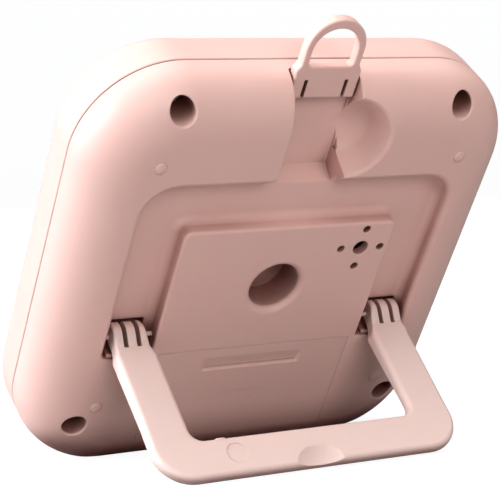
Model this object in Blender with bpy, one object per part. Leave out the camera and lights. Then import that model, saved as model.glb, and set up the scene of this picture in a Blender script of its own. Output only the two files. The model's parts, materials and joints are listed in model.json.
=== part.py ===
"""Small square water-resistant table clock, leaning back on its fold-out kickstand.

Everything is designed in the clock's own frame, in millimetres: X runs across the clock, Y is
the outward normal of the back (Y = 0 is the flat back face, the display faces -Y) and Z runs up
along the clock. The body_frame empty then leans the whole clock back on its stand, seen from the
front along +Y, and puts it on the ground.
"""

import math

import bmesh
import bpy
from mathutils import Matrix, Vector

MM = 0.001
GAP = 0.3                 # clearance between pieces that touch

# Body outline and thickness
HALF = 55.0               # half of the square outline
CORNER = 22.5             # corner radius of the outline
DEPTH = 29.5              # back face to front face
SEAM = -13.0              # rim of the rear shell
BACK_IN, BACK_DEEP = 12.9, 10.7     # elliptical rounding of the back edge
FRONT_IN, FRONT_DEEP = 11.0, 10.7   # elliptical rounding of the front edge
WALL = 3.0                # side wall
SKIN = 2.4                # back and front walls
RIB = 2.2                 # walls around the hollows in the back
CORNER_STEPS = 7
EDGE_STEPS = 6

# Raised plateau, and the U-shaped moat around it that the stand folds into
PLATEAU_HALF, PLATEAU_TOP = 28.2, 17.6
MOAT_HALF, MOAT_TOP, MOAT_END = 40.5, 30.2, -17.8
MOAT_FLOOR = -4.8
MOAT_DRAFT = 0.2

# Kickstand
HINGE_Y, HINGE_Z = -2.7, -13.3
STAND_OPEN = math.radians(77.8)     # between the open stand and the clock's downward direction
STAND_THICK = 3.25
LEG_IN, LEG_OUT = 29.3, 39.7        # inner and outer edge of a leg
FORK_IN, FORK_OUT = 30.4, 39.1      # the narrower three-finger fork at its top
BAR_IN, BAR_OUT = 31.4, 41.45       # cross bar, measured from the hinge axis
BAR_HALF = 40.0
KNUCKLE_R = 3.4           # the fingers' round top, about the hinge axis
KNUCKLE_END = 139         # degrees from the leg's direction to where the round top ends
HEEL_THICK = 2.6          # the leg is thicker below the hinge, from its middle to its lower face
HEEL_Z = (3.6, 6.5, 10.0, 26.0)     # where it starts, is full, starts to thin and ends
FORK_LENGTH = 4.4
FORK_SLOT = 1.15
PEG_R = 1.1
PEG_IN, PEG_OUT = 27.5, 41.4
POCKET_IN, POCKET_OUT = 29.9, 39.6
POCKET_TOP, POCKET_END, POCKET_FLOOR = -9.9, -16.7, -7.5
STOP_TOP = -0.6           # the block behind each heel, just below the back face

# Hanging loop that slides in a channel in the top edge
CHANNEL_HALF, CHANNEL_FLOOR = 8.8, -9.2
RAMP_TOP, RAMP_FOOT = 31.0, 27.3
LOOP_BACK, LOOP_FRONT = -6.2, -8.9
LOOP_FOOT, LOOP_TIP = 48.9, 68.9
LOOP_HALF, LOOP_BASE_HALF = 7.5, 8.4
LOOP_HOLE_HALF, LOOP_HOLE_FOOT = 5.8, 57.0
LOOP_TRAVEL = 15.0
TONGUE_HALF = 9.3
TONGUE_Z = (49.4, 51.6)
TONGUE_Y = (-8.2, -7.0)
SCOOP_X, SCOOP_Z, SCOOP_R = -8.5, 41.0, 8.7

# Suction-cup socket, sounder holes, screw wells, raised dots
SOCKET_Z, SOCKET_R, SOCKET_DEEP = -0.2, 6.6, 9.0
SOUND_X, SOUND_Z, SOUND_ARM, SOUND_R = -20.2, 10.2, 5.45, 2.0
WELLS = ((-36.0, 48.75), (36.0, 48.75), (-43.2, -38.1), (43.2, -38.1))
WELL_R, WELL_FLOOR, WELL_HOLE_R = 2.9, -10.4, 1.5
DOTS = ((-38.9, 35.8), (38.9, 35.8), (-38.9, -32.7), (38.9, -32.7))
DOT_R, DOT_PROUD = 1.5, 0.3

# Battery bay with a sliding cover
COVER_HALF, COVER_TOP, COVER_THICK = 26.0, -18.0, 1.7
BAY_HALF, BAY_TOP, BAY_END, BAY_FLOOR = 25.4, -20.6, -44.2, -13.9
TUB_FLOOR, TUB_WALL = -15.2, 1.6
CELL_R, CELL_Y = 5.1, -7.6
CELL_Z = (-26.8, -38.0)
COVER_TRAVEL = 6.5
TAB_Z = (-24.5, -33.5)
TAB_LENGTH = 3.0
TAB_WAY_HALF, TAB_WAY_FLOOR = 27.9, -3.7

# Front: window, display stack, buttons
WINDOW_HALF, WINDOW_Z = 38.5, (-9.5, 36.5)
WINDOW_THICK = 1.2
APERTURE_HALF, APERTURE_Z = 35.5, (-6.5, 33.5)
FRONT_INSIDE = -DEPTH + SKIN + 0.2
BUTTON_X = (-31.5, -10.5, 10.5, 31.5)
BUTTON_NAMES = ("button_set", "button_down", "button_up", "button_light")
BUTTON_Z = -24.0
BUTTON_LONG, BUTTON_TALL, BUTTON_PROUD = 15.0, 8.0, 0.5
PCB_BACK, PCB_FRONT = -19.8, -21.0
PCB_HALF, PCB_Z = 45.0, (-33.0, 38.0)
PCB_SCREWS = ((-42.2, 33.0), (42.2, 33.0), (-42.2, -16.0), (42.2, -16.0))
CASE_BOSS_R, CASE_PILOT_R = 3.6, 1.45
BOARD_BOSS_R, BOARD_PILOT_R = 2.2, 1.35


# ---------------------------------------------------------------- scene and materials

for old in list(bpy.data.objects):
    bpy.data.objects.remove(old, do_unlink=True)


def material(name, colour, roughness, metallic=0.0):
    made = bpy.data.materials.new(name)
    made.use_nodes = True
    shader = made.node_tree.nodes["Principled BSDF"]
    shader.inputs["Base Color"].default_value = (*colour, 1.0)
    shader.inputs["Roughness"].default_value = roughness
    shader.inputs["Metallic"].default_value = metallic
    return made


PINK = (0.78, 0.52, 0.46)
MATERIALS = {
    "shell": material("shell_pink", PINK, 0.45),
    "stand": material("stand_pink", PINK, 0.42),
    "window": material("window_clear", (0.05, 0.05, 0.06), 0.08),
    "button": material("button_white", (0.85, 0.80, 0.78), 0.4),
    "rubber": material("seal_rubber", (0.20, 0.19, 0.19), 0.8),
    "lcd": material("lcd_glass", (0.42, 0.46, 0.40), 0.15),
    "frame": material("frame_white", (0.82, 0.82, 0.80), 0.5),
    "guide": material("light_guide", (0.90, 0.92, 0.92), 0.2),
    "board": material("board_green", (0.05, 0.22, 0.10), 0.5),
    "epoxy": material("chip_black", (0.02, 0.02, 0.02), 0.35),
    "switch": material("switch_black", (0.05, 0.05, 0.05), 0.5),
    "steel": material("nickel_steel", (0.70, 0.68, 0.64), 0.3, 1.0),
    "cell": material("cell_sleeve", (0.13, 0.16, 0.22), 0.35),
    "wire_red": material("wire_red", (0.55, 0.04, 0.03), 0.5),
    "wire_black": material("wire_black", (0.03, 0.03, 0.03), 0.5),
}

body_frame = bpy.data.objects.new("body_frame", None)
stand_axis = bpy.data.objects.new("kickstand_axis", None)
loop_track = bpy.data.objects.new("hanging_loop_track", None)
for empty in (body_frame, stand_axis, loop_track):
    bpy.context.scene.collection.objects.link(empty)
stand_axis.parent = body_frame
stand_axis.location = (0, HINGE_Y * MM, HINGE_Z * MM)
stand_axis.rotation_euler = (STAND_OPEN - math.pi, 0, 0)
loop_track.parent = body_frame
loop_track.location = (0, LOOP_BACK * MM, LOOP_FOOT * MM)


# ---------------------------------------------------------------- outlines in the XZ plane

def arc(x, z, radius, start, end, steps):
    angles = [math.radians(start + (end - start) * k / steps) for k in range(steps + 1)]
    return [(x + radius * math.cos(a), z + radius * math.sin(a)) for a in angles]


def rounded(x0, x1, z0, z1, radius, steps=4):
    """Rectangle with round corners."""
    return (arc(x1 - radius, z1 - radius, radius, 0, 90, steps)
            + arc(x0 + radius, z1 - radius, radius, 90, 180, steps)
            + arc(x0 + radius, z0 + radius, radius, 180, 270, steps)
            + arc(x1 - radius, z0 + radius, radius, 270, 360, steps))


def rectangle(x0, x1, z0, z1):
    return [(x0, z0), (x1, z0), (x1, z1), (x0, z1)]


def square(inset):
    """The clock's outline, moved inwards by inset."""
    half = HALF - inset
    return rounded(-half, half, -half, half, CORNER - inset, CORNER_STEPS)


def moat_outline(grow):
    """The U of the moat, open at its lower ends, widened by grow on every side."""
    side, top, end = MOAT_HALF + grow, MOAT_TOP + grow, MOAT_END - grow
    inner, inner_top = PLATEAU_HALF - grow, PLATEAU_TOP - grow
    outer = arc(side - 8, top - 8, 8, 0, 90, 4) + arc(8 - side, top - 8, 8, 90, 180, 4)
    hollow = (arc(2 - inner, inner_top - 2, 2, 180, 90, 3)
              + arc(inner - 2, inner_top - 2, 2, 90, 0, 3))
    return [(side, end)] + outer + [(-side, end), (-inner, end)] + hollow + [(inner, end)]


# ---------------------------------------------------------------- solids

def add_object(name, shape):
    bmesh.ops.recalc_face_normals(shape, faces=shape.faces)
    mesh = bpy.data.meshes.new(name)
    shape.to_mesh(mesh)
    shape.free()
    obj = bpy.data.objects.new(name, mesh)
    bpy.context.scene.collection.objects.link(obj)
    return obj


def loft(name, sections):
    """Closed solid through sections, each a (Y, outline) pair with equally many points."""
    shape = bmesh.new()
    loops = [[shape.verts.new((x * MM, y * MM, z * MM)) for x, z in outline]
             for y, outline in sections]
    for low, high in zip(loops, loops[1:]):
        for i in range(len(low)):
            j = (i + 1) % len(low)
            shape.faces.new((low[i], low[j], high[j], high[i]))
    shape.faces.new(loops[0][::-1])
    shape.faces.new(loops[-1])
    return add_object(name, shape)


def prism(name, outline, y0, y1):
    return loft(name, [(y0, outline), (y1, outline)])


def tube(name, outer, inner, y0, y1):
    """Prism with a hole, between two outlines that have equally many points."""
    shape = bmesh.new()
    loops = [[shape.verts.new((x * MM, y * MM, z * MM)) for x, z in outline]
             for y, outline in ((y0, outer), (y1, outer), (y1, inner), (y0, inner))]
    for low, high in zip(loops, loops[1:] + loops[:1]):
        for i in range(len(low)):
            j = (i + 1) % len(low)
            shape.faces.new((low[i], low[j], high[j], high[i]))
    return add_object(name, shape)


def box(name, x, y, z):
    """Box between two X, two Y and two Z values."""
    return prism(name, rectangle(*x, *z), *y)


def turned(name, start, direction, profile, sides=20):
    """Solid of revolution: profile lists (distance along direction, radius), from start."""
    axis = Vector(direction).normalized()
    turn = axis.to_track_quat("Z", "Y").to_matrix()
    shape = bmesh.new()
    loops = []
    for along, radius in profile:
        loop = []
        for k in range(sides):
            angle = 2 * math.pi * k / sides
            local = Vector((radius * math.cos(angle), radius * math.sin(angle), along))
            loop.append(shape.verts.new((Vector(start) + turn @ local) * MM))
        loops.append(loop)
    for low, high in zip(loops, loops[1:]):
        for i in range(sides):
            j = (i + 1) % sides
            shape.faces.new((low[i], low[j], high[j], high[i]))
    shape.faces.new(loops[0][::-1])
    shape.faces.new(loops[-1])
    return add_object(name, shape)


def pin(name, x, z, radius, y0, y1, sides=20):
    """Cylinder along Y."""
    return turned(name, (x, y0, z), (0, 1, 0), [(0, radius), (y1 - y0, radius)], sides)


def ellipsoid(name, centre, radii, sides=20):
    shape = bmesh.new()
    bmesh.ops.create_uvsphere(shape, u_segments=sides, v_segments=sides // 2, radius=MM)
    bmesh.ops.scale(shape, vec=radii, verts=shape.verts)
    bmesh.ops.translate(shape, vec=Vector(centre) * MM, verts=shape.verts)
    return add_object(name, shape)


def combine(operation, target, tools):
    """Cuts the tools from the target, or joins them to it, and drops the tools."""
    for tool in tools:
        step = target.modifiers.new("step", "BOOLEAN")
        step.operation = operation
        step.solver = "EXACT"
        step.object = tool
        tool.hide_render = True
        tool.display_type = "WIRE"
    graph = bpy.context.evaluated_depsgraph_get()
    target.data = bpy.data.meshes.new_from_object(target.evaluated_get(graph))
    target.modifiers.clear()
    for tool in tools:
        bpy.data.objects.remove(tool, do_unlink=True)
    return target


def cut(target, *tools):
    return combine("DIFFERENCE", target, tools)


def join(target, *tools):
    return combine("UNION", target, tools)


def finish(obj, kind, parent=None, smooth=35):
    """Gives the node its material, its shading and its place in the clock."""
    obj.data.materials.clear()
    obj.data.materials.append(MATERIALS[kind])
    obj.data.shade_smooth()
    obj.data.set_sharp_from_angle(angle=math.radians(smooth))
    parent = parent or body_frame
    if parent is loop_track:
        obj.data.transform(Matrix.Translation(-loop_track.location))
    obj.parent = parent
    return obj


# ---------------------------------------------------------------- shells

def edge_sections(side, inset, deep_y, across, deep, sign):
    """Sections over an elliptical edge rounding, from the side wall to the flat face."""
    made = [(side, square(inset))]
    for k in range(EDGE_STEPS + 1):
        angle = math.pi / 2 * k / EDGE_STEPS
        made.append((deep_y + sign * deep * math.sin(angle),
                     square(inset + across * (1 - math.cos(angle)))))
    return made


def rear_outer(name):
    return loft(name, edge_sections(SEAM, 0, -BACK_DEEP, BACK_IN, BACK_DEEP, 1))


def stand_pegs(name, radius, reach):
    """Hinge pegs, or their holes, on both sides of both legs."""
    return [turned(name, (side * (PEG_IN - reach), HINGE_Y, HINGE_Z), (side, 0, 0),
                   [(0, radius), (PEG_OUT - PEG_IN + 2 * reach, radius)], 16)
            for side in (-1, 1)]


def rear_shell():
    hollow = loft("hollow", edge_sections(SEAM - 1, WALL, -BACK_DEEP, BACK_IN - WALL,
                                          BACK_DEEP - SKIN, 1))
    moat_half, channel_half = MOAT_HALF + RIB, CHANNEL_HALF + RIB
    tab_half = TAB_WAY_HALF + RIB
    tub = rounded(-BAY_HALF - TUB_WALL, BAY_HALF + TUB_WALL, BAY_END - TUB_WALL,
                  BAY_TOP + TUB_WALL, 1)
    kept = [prism("moat_walls", rounded(-moat_half, moat_half, MOAT_END - RIB, MOAT_TOP + RIB, 10),
                  MOAT_FLOOR - RIB, 1),
            prism("channel_walls", rounded(-channel_half, channel_half, RAMP_FOOT - RIB, HALF + 1, 1),
                  CHANNEL_FLOOR - RIB, 1),
            pin("scoop_wall", SCOOP_X, SCOOP_Z, SCOOP_R + RIB, -SCOOP_R - RIB, 1),
            prism("bay_walls", rounded(-tab_half, tab_half, BAY_END - RIB, BAY_TOP + RIB, 2),
                  TAB_WAY_FLOOR - RIB, 1),
            prism("tub_walls", tub, SEAM - 2, 1)]
    kept += [box("pocket_walls", (side * (POCKET_IN - RIB), side * (POCKET_OUT + RIB))[::side],
                 (POCKET_FLOOR - RIB, 0), (MOAT_END - RIB, POCKET_TOP + RIB))
             for side in (-1, 1)]
    kept += [pin("well_wall", x, z, WELL_R + RIB, SEAM - 2, 1) for x, z in WELLS]
    cut(hollow, *kept)
    shell = cut(rear_outer("rear_shell"), hollow)
    cut(shell, prism("plateau_hollow",
                     rounded(RIB - PLATEAU_HALF, PLATEAU_HALF - RIB, BAY_TOP + 2 * RIB,
                             PLATEAU_TOP - RIB, 2), SEAM - 1, -SKIN))
    join(shell, pin("socket_cup", 0, SOCKET_Z, SOCKET_R + RIB, -SOCKET_DEEP - RIB, -1.0, 28),
         prism("tub", tub, TUB_FLOOR, -11.0))

    moat = loft("moat", [(MOAT_FLOOR, moat_outline(-MOAT_DRAFT)), (1, moat_outline(0.15))])
    pockets = [box("pocket", (side * POCKET_IN, side * POCKET_OUT)[::side],
                   (POCKET_FLOOR, MOAT_FLOOR + 0.5), (POCKET_END, POCKET_TOP))
               for side in (-1, 1)]
    cut(shell, moat, *pockets)
    join(shell, *[box("stop", (side * POCKET_IN, side * POCKET_OUT)[::side],
                      (MOAT_FLOOR - 0.6, STOP_TOP), (MOAT_END - 1, POCKET_END))
                  for side in (-1, 1)])
    channel = box("channel", (-CHANNEL_HALF, CHANNEL_HALF), (CHANNEL_FLOOR, 1), (RAMP_TOP, 57))
    ramp = loft("ramp", [(y, rectangle(-CHANNEL_HALF, CHANNEL_HALF, z, RAMP_TOP + 1))
                         for y, z in ((CHANNEL_FLOOR, RAMP_TOP), (MOAT_FLOOR + 0.1, RAMP_FOOT),
                                      (1, RAMP_FOOT))])
    track = box("track", (-TONGUE_HALF - GAP, TONGUE_HALF + GAP),
                (TONGUE_Y[0] - GAP, TONGUE_Y[1] + GAP),
                (TONGUE_Z[0] - LOOP_TRAVEL - GAP, TONGUE_Z[1] + GAP))
    scoop = ellipsoid("scoop", (SCOOP_X, 0, SCOOP_Z), (SCOOP_R, SCOOP_R, SCOOP_R))
    cut(shell, channel, ramp, track, scoop)

    cut(shell, *stand_pegs("peg_hole", PEG_R + GAP, GAP))
    cut(shell, pin("socket", 0, SOCKET_Z, SOCKET_R, -SOCKET_DEEP, 1, 28),
        pin("sound_hole", SOUND_X, SOUND_Z, SOUND_R, -4, 1, 14),
        *[pin("sound_hole", SOUND_X + SOUND_ARM * dx, SOUND_Z + SOUND_ARM * dz, SOUND_R / 2,
              -4, 1, 10)
          for dx, dz in ((1, 0), (-1, 0), (0, 1), (0, -1))])
    cut(shell, *[pin("well", x, z, WELL_R, WELL_FLOOR, 2) for x, z in WELLS],
        *[pin("well_hole", x, z, WELL_HOLE_R, SEAM - 1, WELL_FLOOR + 1, 14) for x, z in WELLS])
    join(shell, *[pin("dot", x, z, DOT_R, -0.8, DOT_PROUD, 16) for x, z in DOTS])

    cut(shell, box("cover_seat", (-COVER_HALF - GAP, COVER_HALF + GAP),
                   (-COVER_THICK - GAP, 1), (-60, COVER_TOP + GAP)),
        box("bay", (-BAY_HALF, BAY_HALF), (BAY_FLOOR, -1), (BAY_END, BAY_TOP)))
    slots = []
    for side in (-1, 1):
        for z in TAB_Z:
            low, high = z - COVER_TRAVEL - GAP, z + TAB_LENGTH + GAP
            slots.append(box("tab_way", (side * 24.3, side * TAB_WAY_HALF)[::side],
                             (TAB_WAY_FLOOR, -2.1), (low, high)))
            slots.append(box("tab_mouth", (side * 24.3, side * 26.2)[::side], (-3.0, -1.9),
                             (low, high)))
    tails = [box("tail_slot", (-25.3, -24.0), (TUB_FLOOR - 1, BAY_FLOOR + 1), (z - 2.2, z + 2.2))
             for z in CELL_Z]
    cut(shell, *slots, *tails)
    return finish(shell, "shell")


def front_shell():
    outer = loft("front_shell",
                 edge_sections(SEAM - GAP, 0, FRONT_DEEP - DEPTH, FRONT_IN, FRONT_DEEP, -1))
    hollow = loft("hollow", edge_sections(SEAM + 1, WALL, FRONT_DEEP - DEPTH, FRONT_IN - WALL,
                                          FRONT_DEEP - DEPTH - FRONT_INSIDE, -1))
    kept = [pin("case_boss", x, z, CASE_BOSS_R, -DEPTH, SEAM - GAP, 18) for x, z in WELLS]
    kept += [pin("board_boss", x, z, BOARD_BOSS_R, -DEPTH, PCB_FRONT - GAP, 16)
             for x, z in PCB_SCREWS]
    cut(hollow, *kept)
    shell = cut(outer, hollow)
    recess = prism("recess", rounded(-WINDOW_HALF - GAP, WINDOW_HALF + GAP,
                                     WINDOW_Z[0] - GAP, WINDOW_Z[1] + GAP, 3.3),
                   -DEPTH - 1, -DEPTH + WINDOW_THICK + GAP)
    aperture = prism("aperture", rounded(-APERTURE_HALF, APERTURE_HALF, *APERTURE_Z, 1.5),
                     -DEPTH - 1, FRONT_INSIDE + 1)
    groove = tube("groove", square(0.9), square(2.1), SEAM - 1.8, SEAM + 1)
    pilots = [pin("pilot", x, z, CASE_PILOT_R, -23.6, SEAM + 1, 14) for x, z in WELLS]
    pilots += [pin("pilot", x, z, BOARD_PILOT_R, -26.5, PCB_FRONT + 1, 14)
               for x, z in PCB_SCREWS]
    cut(shell, recess, aperture, groove, *pilots,
        *[button_prism(x, GAP, -DEPTH - 1, FRONT_INSIDE + 1) for x in BUTTON_X])
    return finish(shell, "shell")


def shell_seal():
    return finish(tube("shell_seal", square(1.15), square(1.85), SEAM - 1.5, SEAM - GAP),
                  "rubber")


# ---------------------------------------------------------------- kickstand and hanging loop

def across(name, outline, x0, x1):
    """Prism along X from a (Z, Y) outline."""
    shape = bmesh.new()
    low = [shape.verts.new((x0 * MM, y * MM, z * MM)) for z, y in outline]
    high = [shape.verts.new((x1 * MM, y * MM, z * MM)) for z, y in outline]
    shape.faces.new(low[::-1])
    shape.faces.new(high)
    for i in range(len(low)):
        j = (i + 1) % len(low)
        shape.faces.new((low[i], low[j], high[j], high[i]))
    return add_object(name, shape)


def stand_sides():
    """(Z, Y) lines of the stand's upper and lower faces, from its finger ends to past the bar."""
    half_thick, ramp_end, past = STAND_THICK / 2, FORK_LENGTH - 0.2, BAR_OUT + 5
    start = math.degrees(math.atan2(half_thick, ramp_end)
                         + math.acos(KNUCKLE_R / math.hypot(half_thick, ramp_end)))
    tip = [(z, -y) for z, y in arc(-0.8, 0, half_thick, 180, 270, 4)]
    upper = [tip[0]] + [(z, -y) for z, y in arc(0, 0, KNUCKLE_R, KNUCKLE_END, start, 8)]
    upper += [(ramp_end, -half_thick), (past, -half_thick)]
    heel_start, heel_full, heel_thin, heel_end = HEEL_Z
    lower = tip + [(heel_start, half_thick), (heel_full, HEEL_THICK), (heel_thin, HEEL_THICK),
                   (heel_end, half_thick), (past, half_thick)]
    return upper, lower


def kickstand():
    """Built folded: Z runs from the hinge to the cross bar and Y is the outward face."""
    half_thick = STAND_THICK / 2
    foot = BAR_HALF - 8
    outline = ([(FORK_OUT, -3.0), (FORK_OUT, 5.0), (LEG_OUT, 7.5)]
               + [(BAR_HALF - (BAR_HALF - LEG_OUT) * 0.3, 25)]
               + arc(foot, BAR_OUT - 8, 8, 0, 90, 6) + arc(-foot, BAR_OUT - 8, 8, 90, 180, 6)
               + [(-BAR_HALF + (BAR_HALF - LEG_OUT) * 0.3, 25)]
               + [(-LEG_OUT, 7.5), (-FORK_OUT, 5.0), (-FORK_OUT, -3.0), (-FORK_IN, -3.0),
                  (-FORK_IN, 5.0), (-LEG_IN, 7.5)]
               + arc(3 - LEG_IN, BAR_IN - 3, 3, 180, 90, 3)
               + arc(LEG_IN - 3, BAR_IN - 3, 3, 90, 0, 3)
               + [(LEG_IN, 7.5), (FORK_IN, 5.0), (FORK_IN, -3.0)])
    stand = prism("kickstand", outline, -4.5, 4.5)
    upper, lower = stand_sides()
    for line, side in ((upper, -6), (lower, 6)):
        rim = [(-5, line[0][1])] + line + [(line[-1][0], side), (-5, side)]
        cut(stand, across("spare", rim, -50, 50))
    finger = (FORK_OUT - FORK_IN - 2 * FORK_SLOT) / 3
    slots = []
    for side in (-1, 1):
        for k in (1, 2):
            start = FORK_IN + k * finger + (k - 1) * FORK_SLOT
            slots.append(box("slot", (side * start, side * (start + FORK_SLOT))[::side],
                             (-5, 5), (-4, FORK_LENGTH)))
    cut(stand, *slots, ellipsoid("scallop", (0, -half_thick, BAR_OUT), (7.25, 2.2, 4.2)))
    pegs = []
    for side in (-1, 1):
        pegs.append(turned("peg", (side * PEG_IN, 0, 0), (side, 0, 0),
                           [(0, PEG_R), (FORK_IN - PEG_IN + 1, PEG_R)], 12))
        pegs.append(turned("peg", (side * (FORK_OUT - 1), 0, 0), (side, 0, 0),
                           [(0, PEG_R), (PEG_OUT - FORK_OUT + 1, PEG_R)], 12))
    join(stand, *pegs)
    return finish(stand, "stand", stand_axis)


def hanging_loop():
    crown = LOOP_TIP - LOOP_HALF
    outline = ([(LOOP_BASE_HALF, LOOP_FOOT), (LOOP_BASE_HALF, 55.6), (LOOP_HALF, 57.6)]
               + arc(0, crown, LOOP_HALF, 0, 180, 16)
               + [(-LOOP_HALF, 57.6), (-LOOP_BASE_HALF, 55.6), (-LOOP_BASE_HALF, LOOP_FOOT)])
    loop = prism("hanging_loop", outline, LOOP_FRONT, LOOP_BACK)
    hole = ([(LOOP_HOLE_HALF - 1, LOOP_HOLE_FOOT), (LOOP_HOLE_HALF, LOOP_HOLE_FOOT + 1)]
            + arc(0, 60.8, LOOP_HOLE_HALF, 0, 180, 14)
            + [(-LOOP_HOLE_HALF, LOOP_HOLE_FOOT + 1), (1 - LOOP_HOLE_HALF, LOOP_HOLE_FOOT)])
    arms = [box("arm_slot", (side * 4.75, side * 5.65)[::side], (-12, 0), (40, 53.7))
            for side in (-1, 1)]
    cut(loop, prism("hole", hole, -12, 0), *arms)
    join(loop, *[box("tongue", (side * 8.0, side * TONGUE_HALF)[::side], TONGUE_Y, TONGUE_Z)
                 for side in (-1, 1)])
    return finish(loop, "shell", loop_track)


# ---------------------------------------------------------------- battery bay

def battery_cover():
    """The slice of the back over the bay, with the thumb groove and four sliding tabs."""
    cover = rear_outer("battery_cover")
    frame = box("frame", (-70, 70), (-30, 5), (-70, 70))
    cut(frame, box("window", (-COVER_HALF, COVER_HALF), (-COVER_THICK, 6), (-71, COVER_TOP)))
    cut(cover, frame)
    groove = prism("thumb_groove", rounded(-13.3, 13.3, -24.3, -20.7, 1.2), -1.0, 1)
    arrow = prism("arrow", [(-6.5, -32), (0, -37), (6.5, -32)], -0.35, 1)
    cut(cover, groove, arrow)
    tabs = []
    for side in (-1, 1):
        for z in TAB_Z:
            tabs.append(box("tab_leg", (side * 24.7, side * 25.8)[::side], (-3.4, -1.4),
                            (z, z + TAB_LENGTH)))
            tabs.append(box("tab", (side * 25.2, side * 27.5)[::side], (-3.4, -2.4),
                            (z, z + TAB_LENGTH)))
    join(cover, *tabs)
    return finish(cover, "shell")


def battery_cell(name, z, sign):
    """AAA cell with its button end towards sign * X."""
    body = [(0, CELL_R - 0.4), (0.4, CELL_R), (43.1, CELL_R), (43.5, CELL_R - 0.4),
            (43.5, 1.9), (44.5, 1.9)]
    return finish(turned(name, (-sign * 20.2, CELL_Y, z), (sign, 0, 0), body, 24), "cell")


def coil_spring(name, z, sign):
    """Conical contact spring from its plate, at sign * X, to the flat end of a cell."""
    turns, per_turn, wire = 3, 12, 0.35
    path = []
    for k in range(turns * per_turn + 1):
        share = k / (turns * per_turn)
        angle = 2 * math.pi * turns * share
        radius = 3.6 - 1.6 * share
        path.append(Vector((sign * (23.85 - 3.0 * share), CELL_Y + radius * math.cos(angle),
                            z + radius * math.sin(angle))))
    shape = bmesh.new()
    loops = []
    for k, point in enumerate(path):
        along = (path[min(k + 1, len(path) - 1)] - path[max(k - 1, 0)]).normalized()
        outward = Vector((0, point.y - CELL_Y, point.z - z)).normalized()
        across = along.cross(outward)
        loops.append([shape.verts.new((point + wire * (math.cos(a) * outward
                                                       + math.sin(a) * across)) * MM)
                      for a in (math.tau * i / 5 for i in range(5))])
    for low, high in zip(loops, loops[1:]):
        for i in range(5):
            j = (i + 1) % 5
            shape.faces.new((low[i], low[j], high[j], high[i]))
    shape.faces.new(loops[0][::-1])
    shape.faces.new(loops[-1])
    return finish(add_object(name, shape), "steel", smooth=80)


def contact_plate(name, sign, z, tail):
    """Flat contact at the end of the bay, with an optional solder tail through its floor."""
    plate = box(name, (sign * 24.5, sign * 24.9)[::sign], (-12.6, -4.4), z)
    if tail:
        join(plate, box("tail", (sign * 24.5, sign * 24.9)[::sign], (-16.4, -12.0), tail))
    return finish(plate, "steel")


# ---------------------------------------------------------------- display, board and sounder

def display_window():
    outline = rounded(-WINDOW_HALF, WINDOW_HALF, *WINDOW_Z, 3.0, 5)
    return finish(prism("display_window", outline, -DEPTH, -DEPTH + WINDOW_THICK), "window")


def display_stack():
    panel = box("lcd_panel", (-37.4, 37.4), (-26.6, -24.4), (-8.4, 35.4))
    finish(panel, "lcd")
    rim = tube("lcd_frame", rounded(-38.9, 38.9, -10.4, 37.2, 1.5),
               rounded(-37.7, 37.7, -8.7, 35.7, 0.5), PCB_FRONT - GAP, -26.6)
    finish(rim, "frame")
    finish(box("light_guide", (-34.0, 36.8), (-24.1, -22.2), (-4.8, 34.8)), "guide")
    finish(box("backlight_led", (-36.8, -34.4), (-23.6, -21.3), (12.0, 16.0)), "frame")
    finish(box("zebra_strip", (-32.0, 32.0), (-24.1, -21.3), (-8.0, -5.8)), "rubber")


def main_board():
    board = prism("main_board", rounded(-PCB_HALF, PCB_HALF, *PCB_Z, 4, 3), PCB_FRONT, PCB_BACK)
    cut(board, *[pin("screw_hole", x, z, 1.5, -22, -19, 14) for x, z in PCB_SCREWS])
    finish(board, "board")
    chip = turned("clock_chip", (4, PCB_BACK + GAP, 6), (0, 1, 0),
                  [(0, 6.0), (0.8, 5.4), (1.4, 3.6), (1.6, 1.2)], 20)
    finish(chip, "epoxy", smooth=60)
    crystal = turned("crystal_can", (-12, PCB_BACK + GAP + 1.0, 16), (-1, 0, 0),
                     [(0, 0.9), (0.2, 1.0), (6.0, 1.0)], 14)
    finish(crystal, "steel")
    capacitor = pin("capacitor", 24, -8, 2.0, PCB_BACK + GAP, PCB_BACK + 4.6, 18)
    finish(capacitor, "epoxy")


def sounder():
    body = turned("sounder", (SOUND_X, -11.6, SOUND_Z), (0, 1, 0),
                  [(0, 6.0), (0.5, 6.5), (3.9, 6.5), (4.2, 6.0)], 24)
    cut(body, pin("mouth", SOUND_X, SOUND_Z, 1.2, -9, -6, 12))
    return finish(body, "epoxy")


# ---------------------------------------------------------------- buttons

def button_prism(x, grow, y0, y1):
    half_long, half_tall = BUTTON_LONG / 2 + grow, BUTTON_TALL / 2 + grow
    outline = rounded(x - half_long, x + half_long, BUTTON_Z - half_tall, BUTTON_Z + half_tall,
                      half_tall - 0.01, 6)
    return prism("button_hole", outline, y0, y1)


def push_button(name, x):
    button = button_prism(x, 0, -DEPTH - BUTTON_PROUD, FRONT_INSIDE - 0.4)
    button.name = name
    stem = turned("stem", (x, FRONT_INSIDE - 1.5, BUTTON_Z), (0, 1, 0),
                  [(0, 1.5), (2.8, 1.5), (2.8, 2.4), (3.4, 2.4), (3.4, 1.5), (4.2, 1.5)], 14)
    join(button, stem)
    return finish(button, "button")


def push_switch(tag, x):
    case = box("switch_" + tag, (x - 3, x + 3), (-23.2, PCB_FRONT - GAP),
               (BUTTON_Z - 3, BUTTON_Z + 3))
    cut(case, pin("bore", x, BUTTON_Z, 1.9, -24, -21.9, 16))
    finish(case, "switch")
    finish(pin("plunger_" + tag, x, BUTTON_Z, 1.6, -23.9, -22.7, 14), "switch")


def button_membrane():
    sheet = prism("button_membrane", rounded(-39.4, 39.4, BUTTON_Z - 6, BUTTON_Z + 6, 3),
                  -26.6, -25.9)
    return finish(cut(sheet, *[pin("hole", x, BUTTON_Z, 1.8, -27, -25, 14) for x in BUTTON_X]),
                  "rubber")


# ---------------------------------------------------------------- screws and wires

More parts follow.
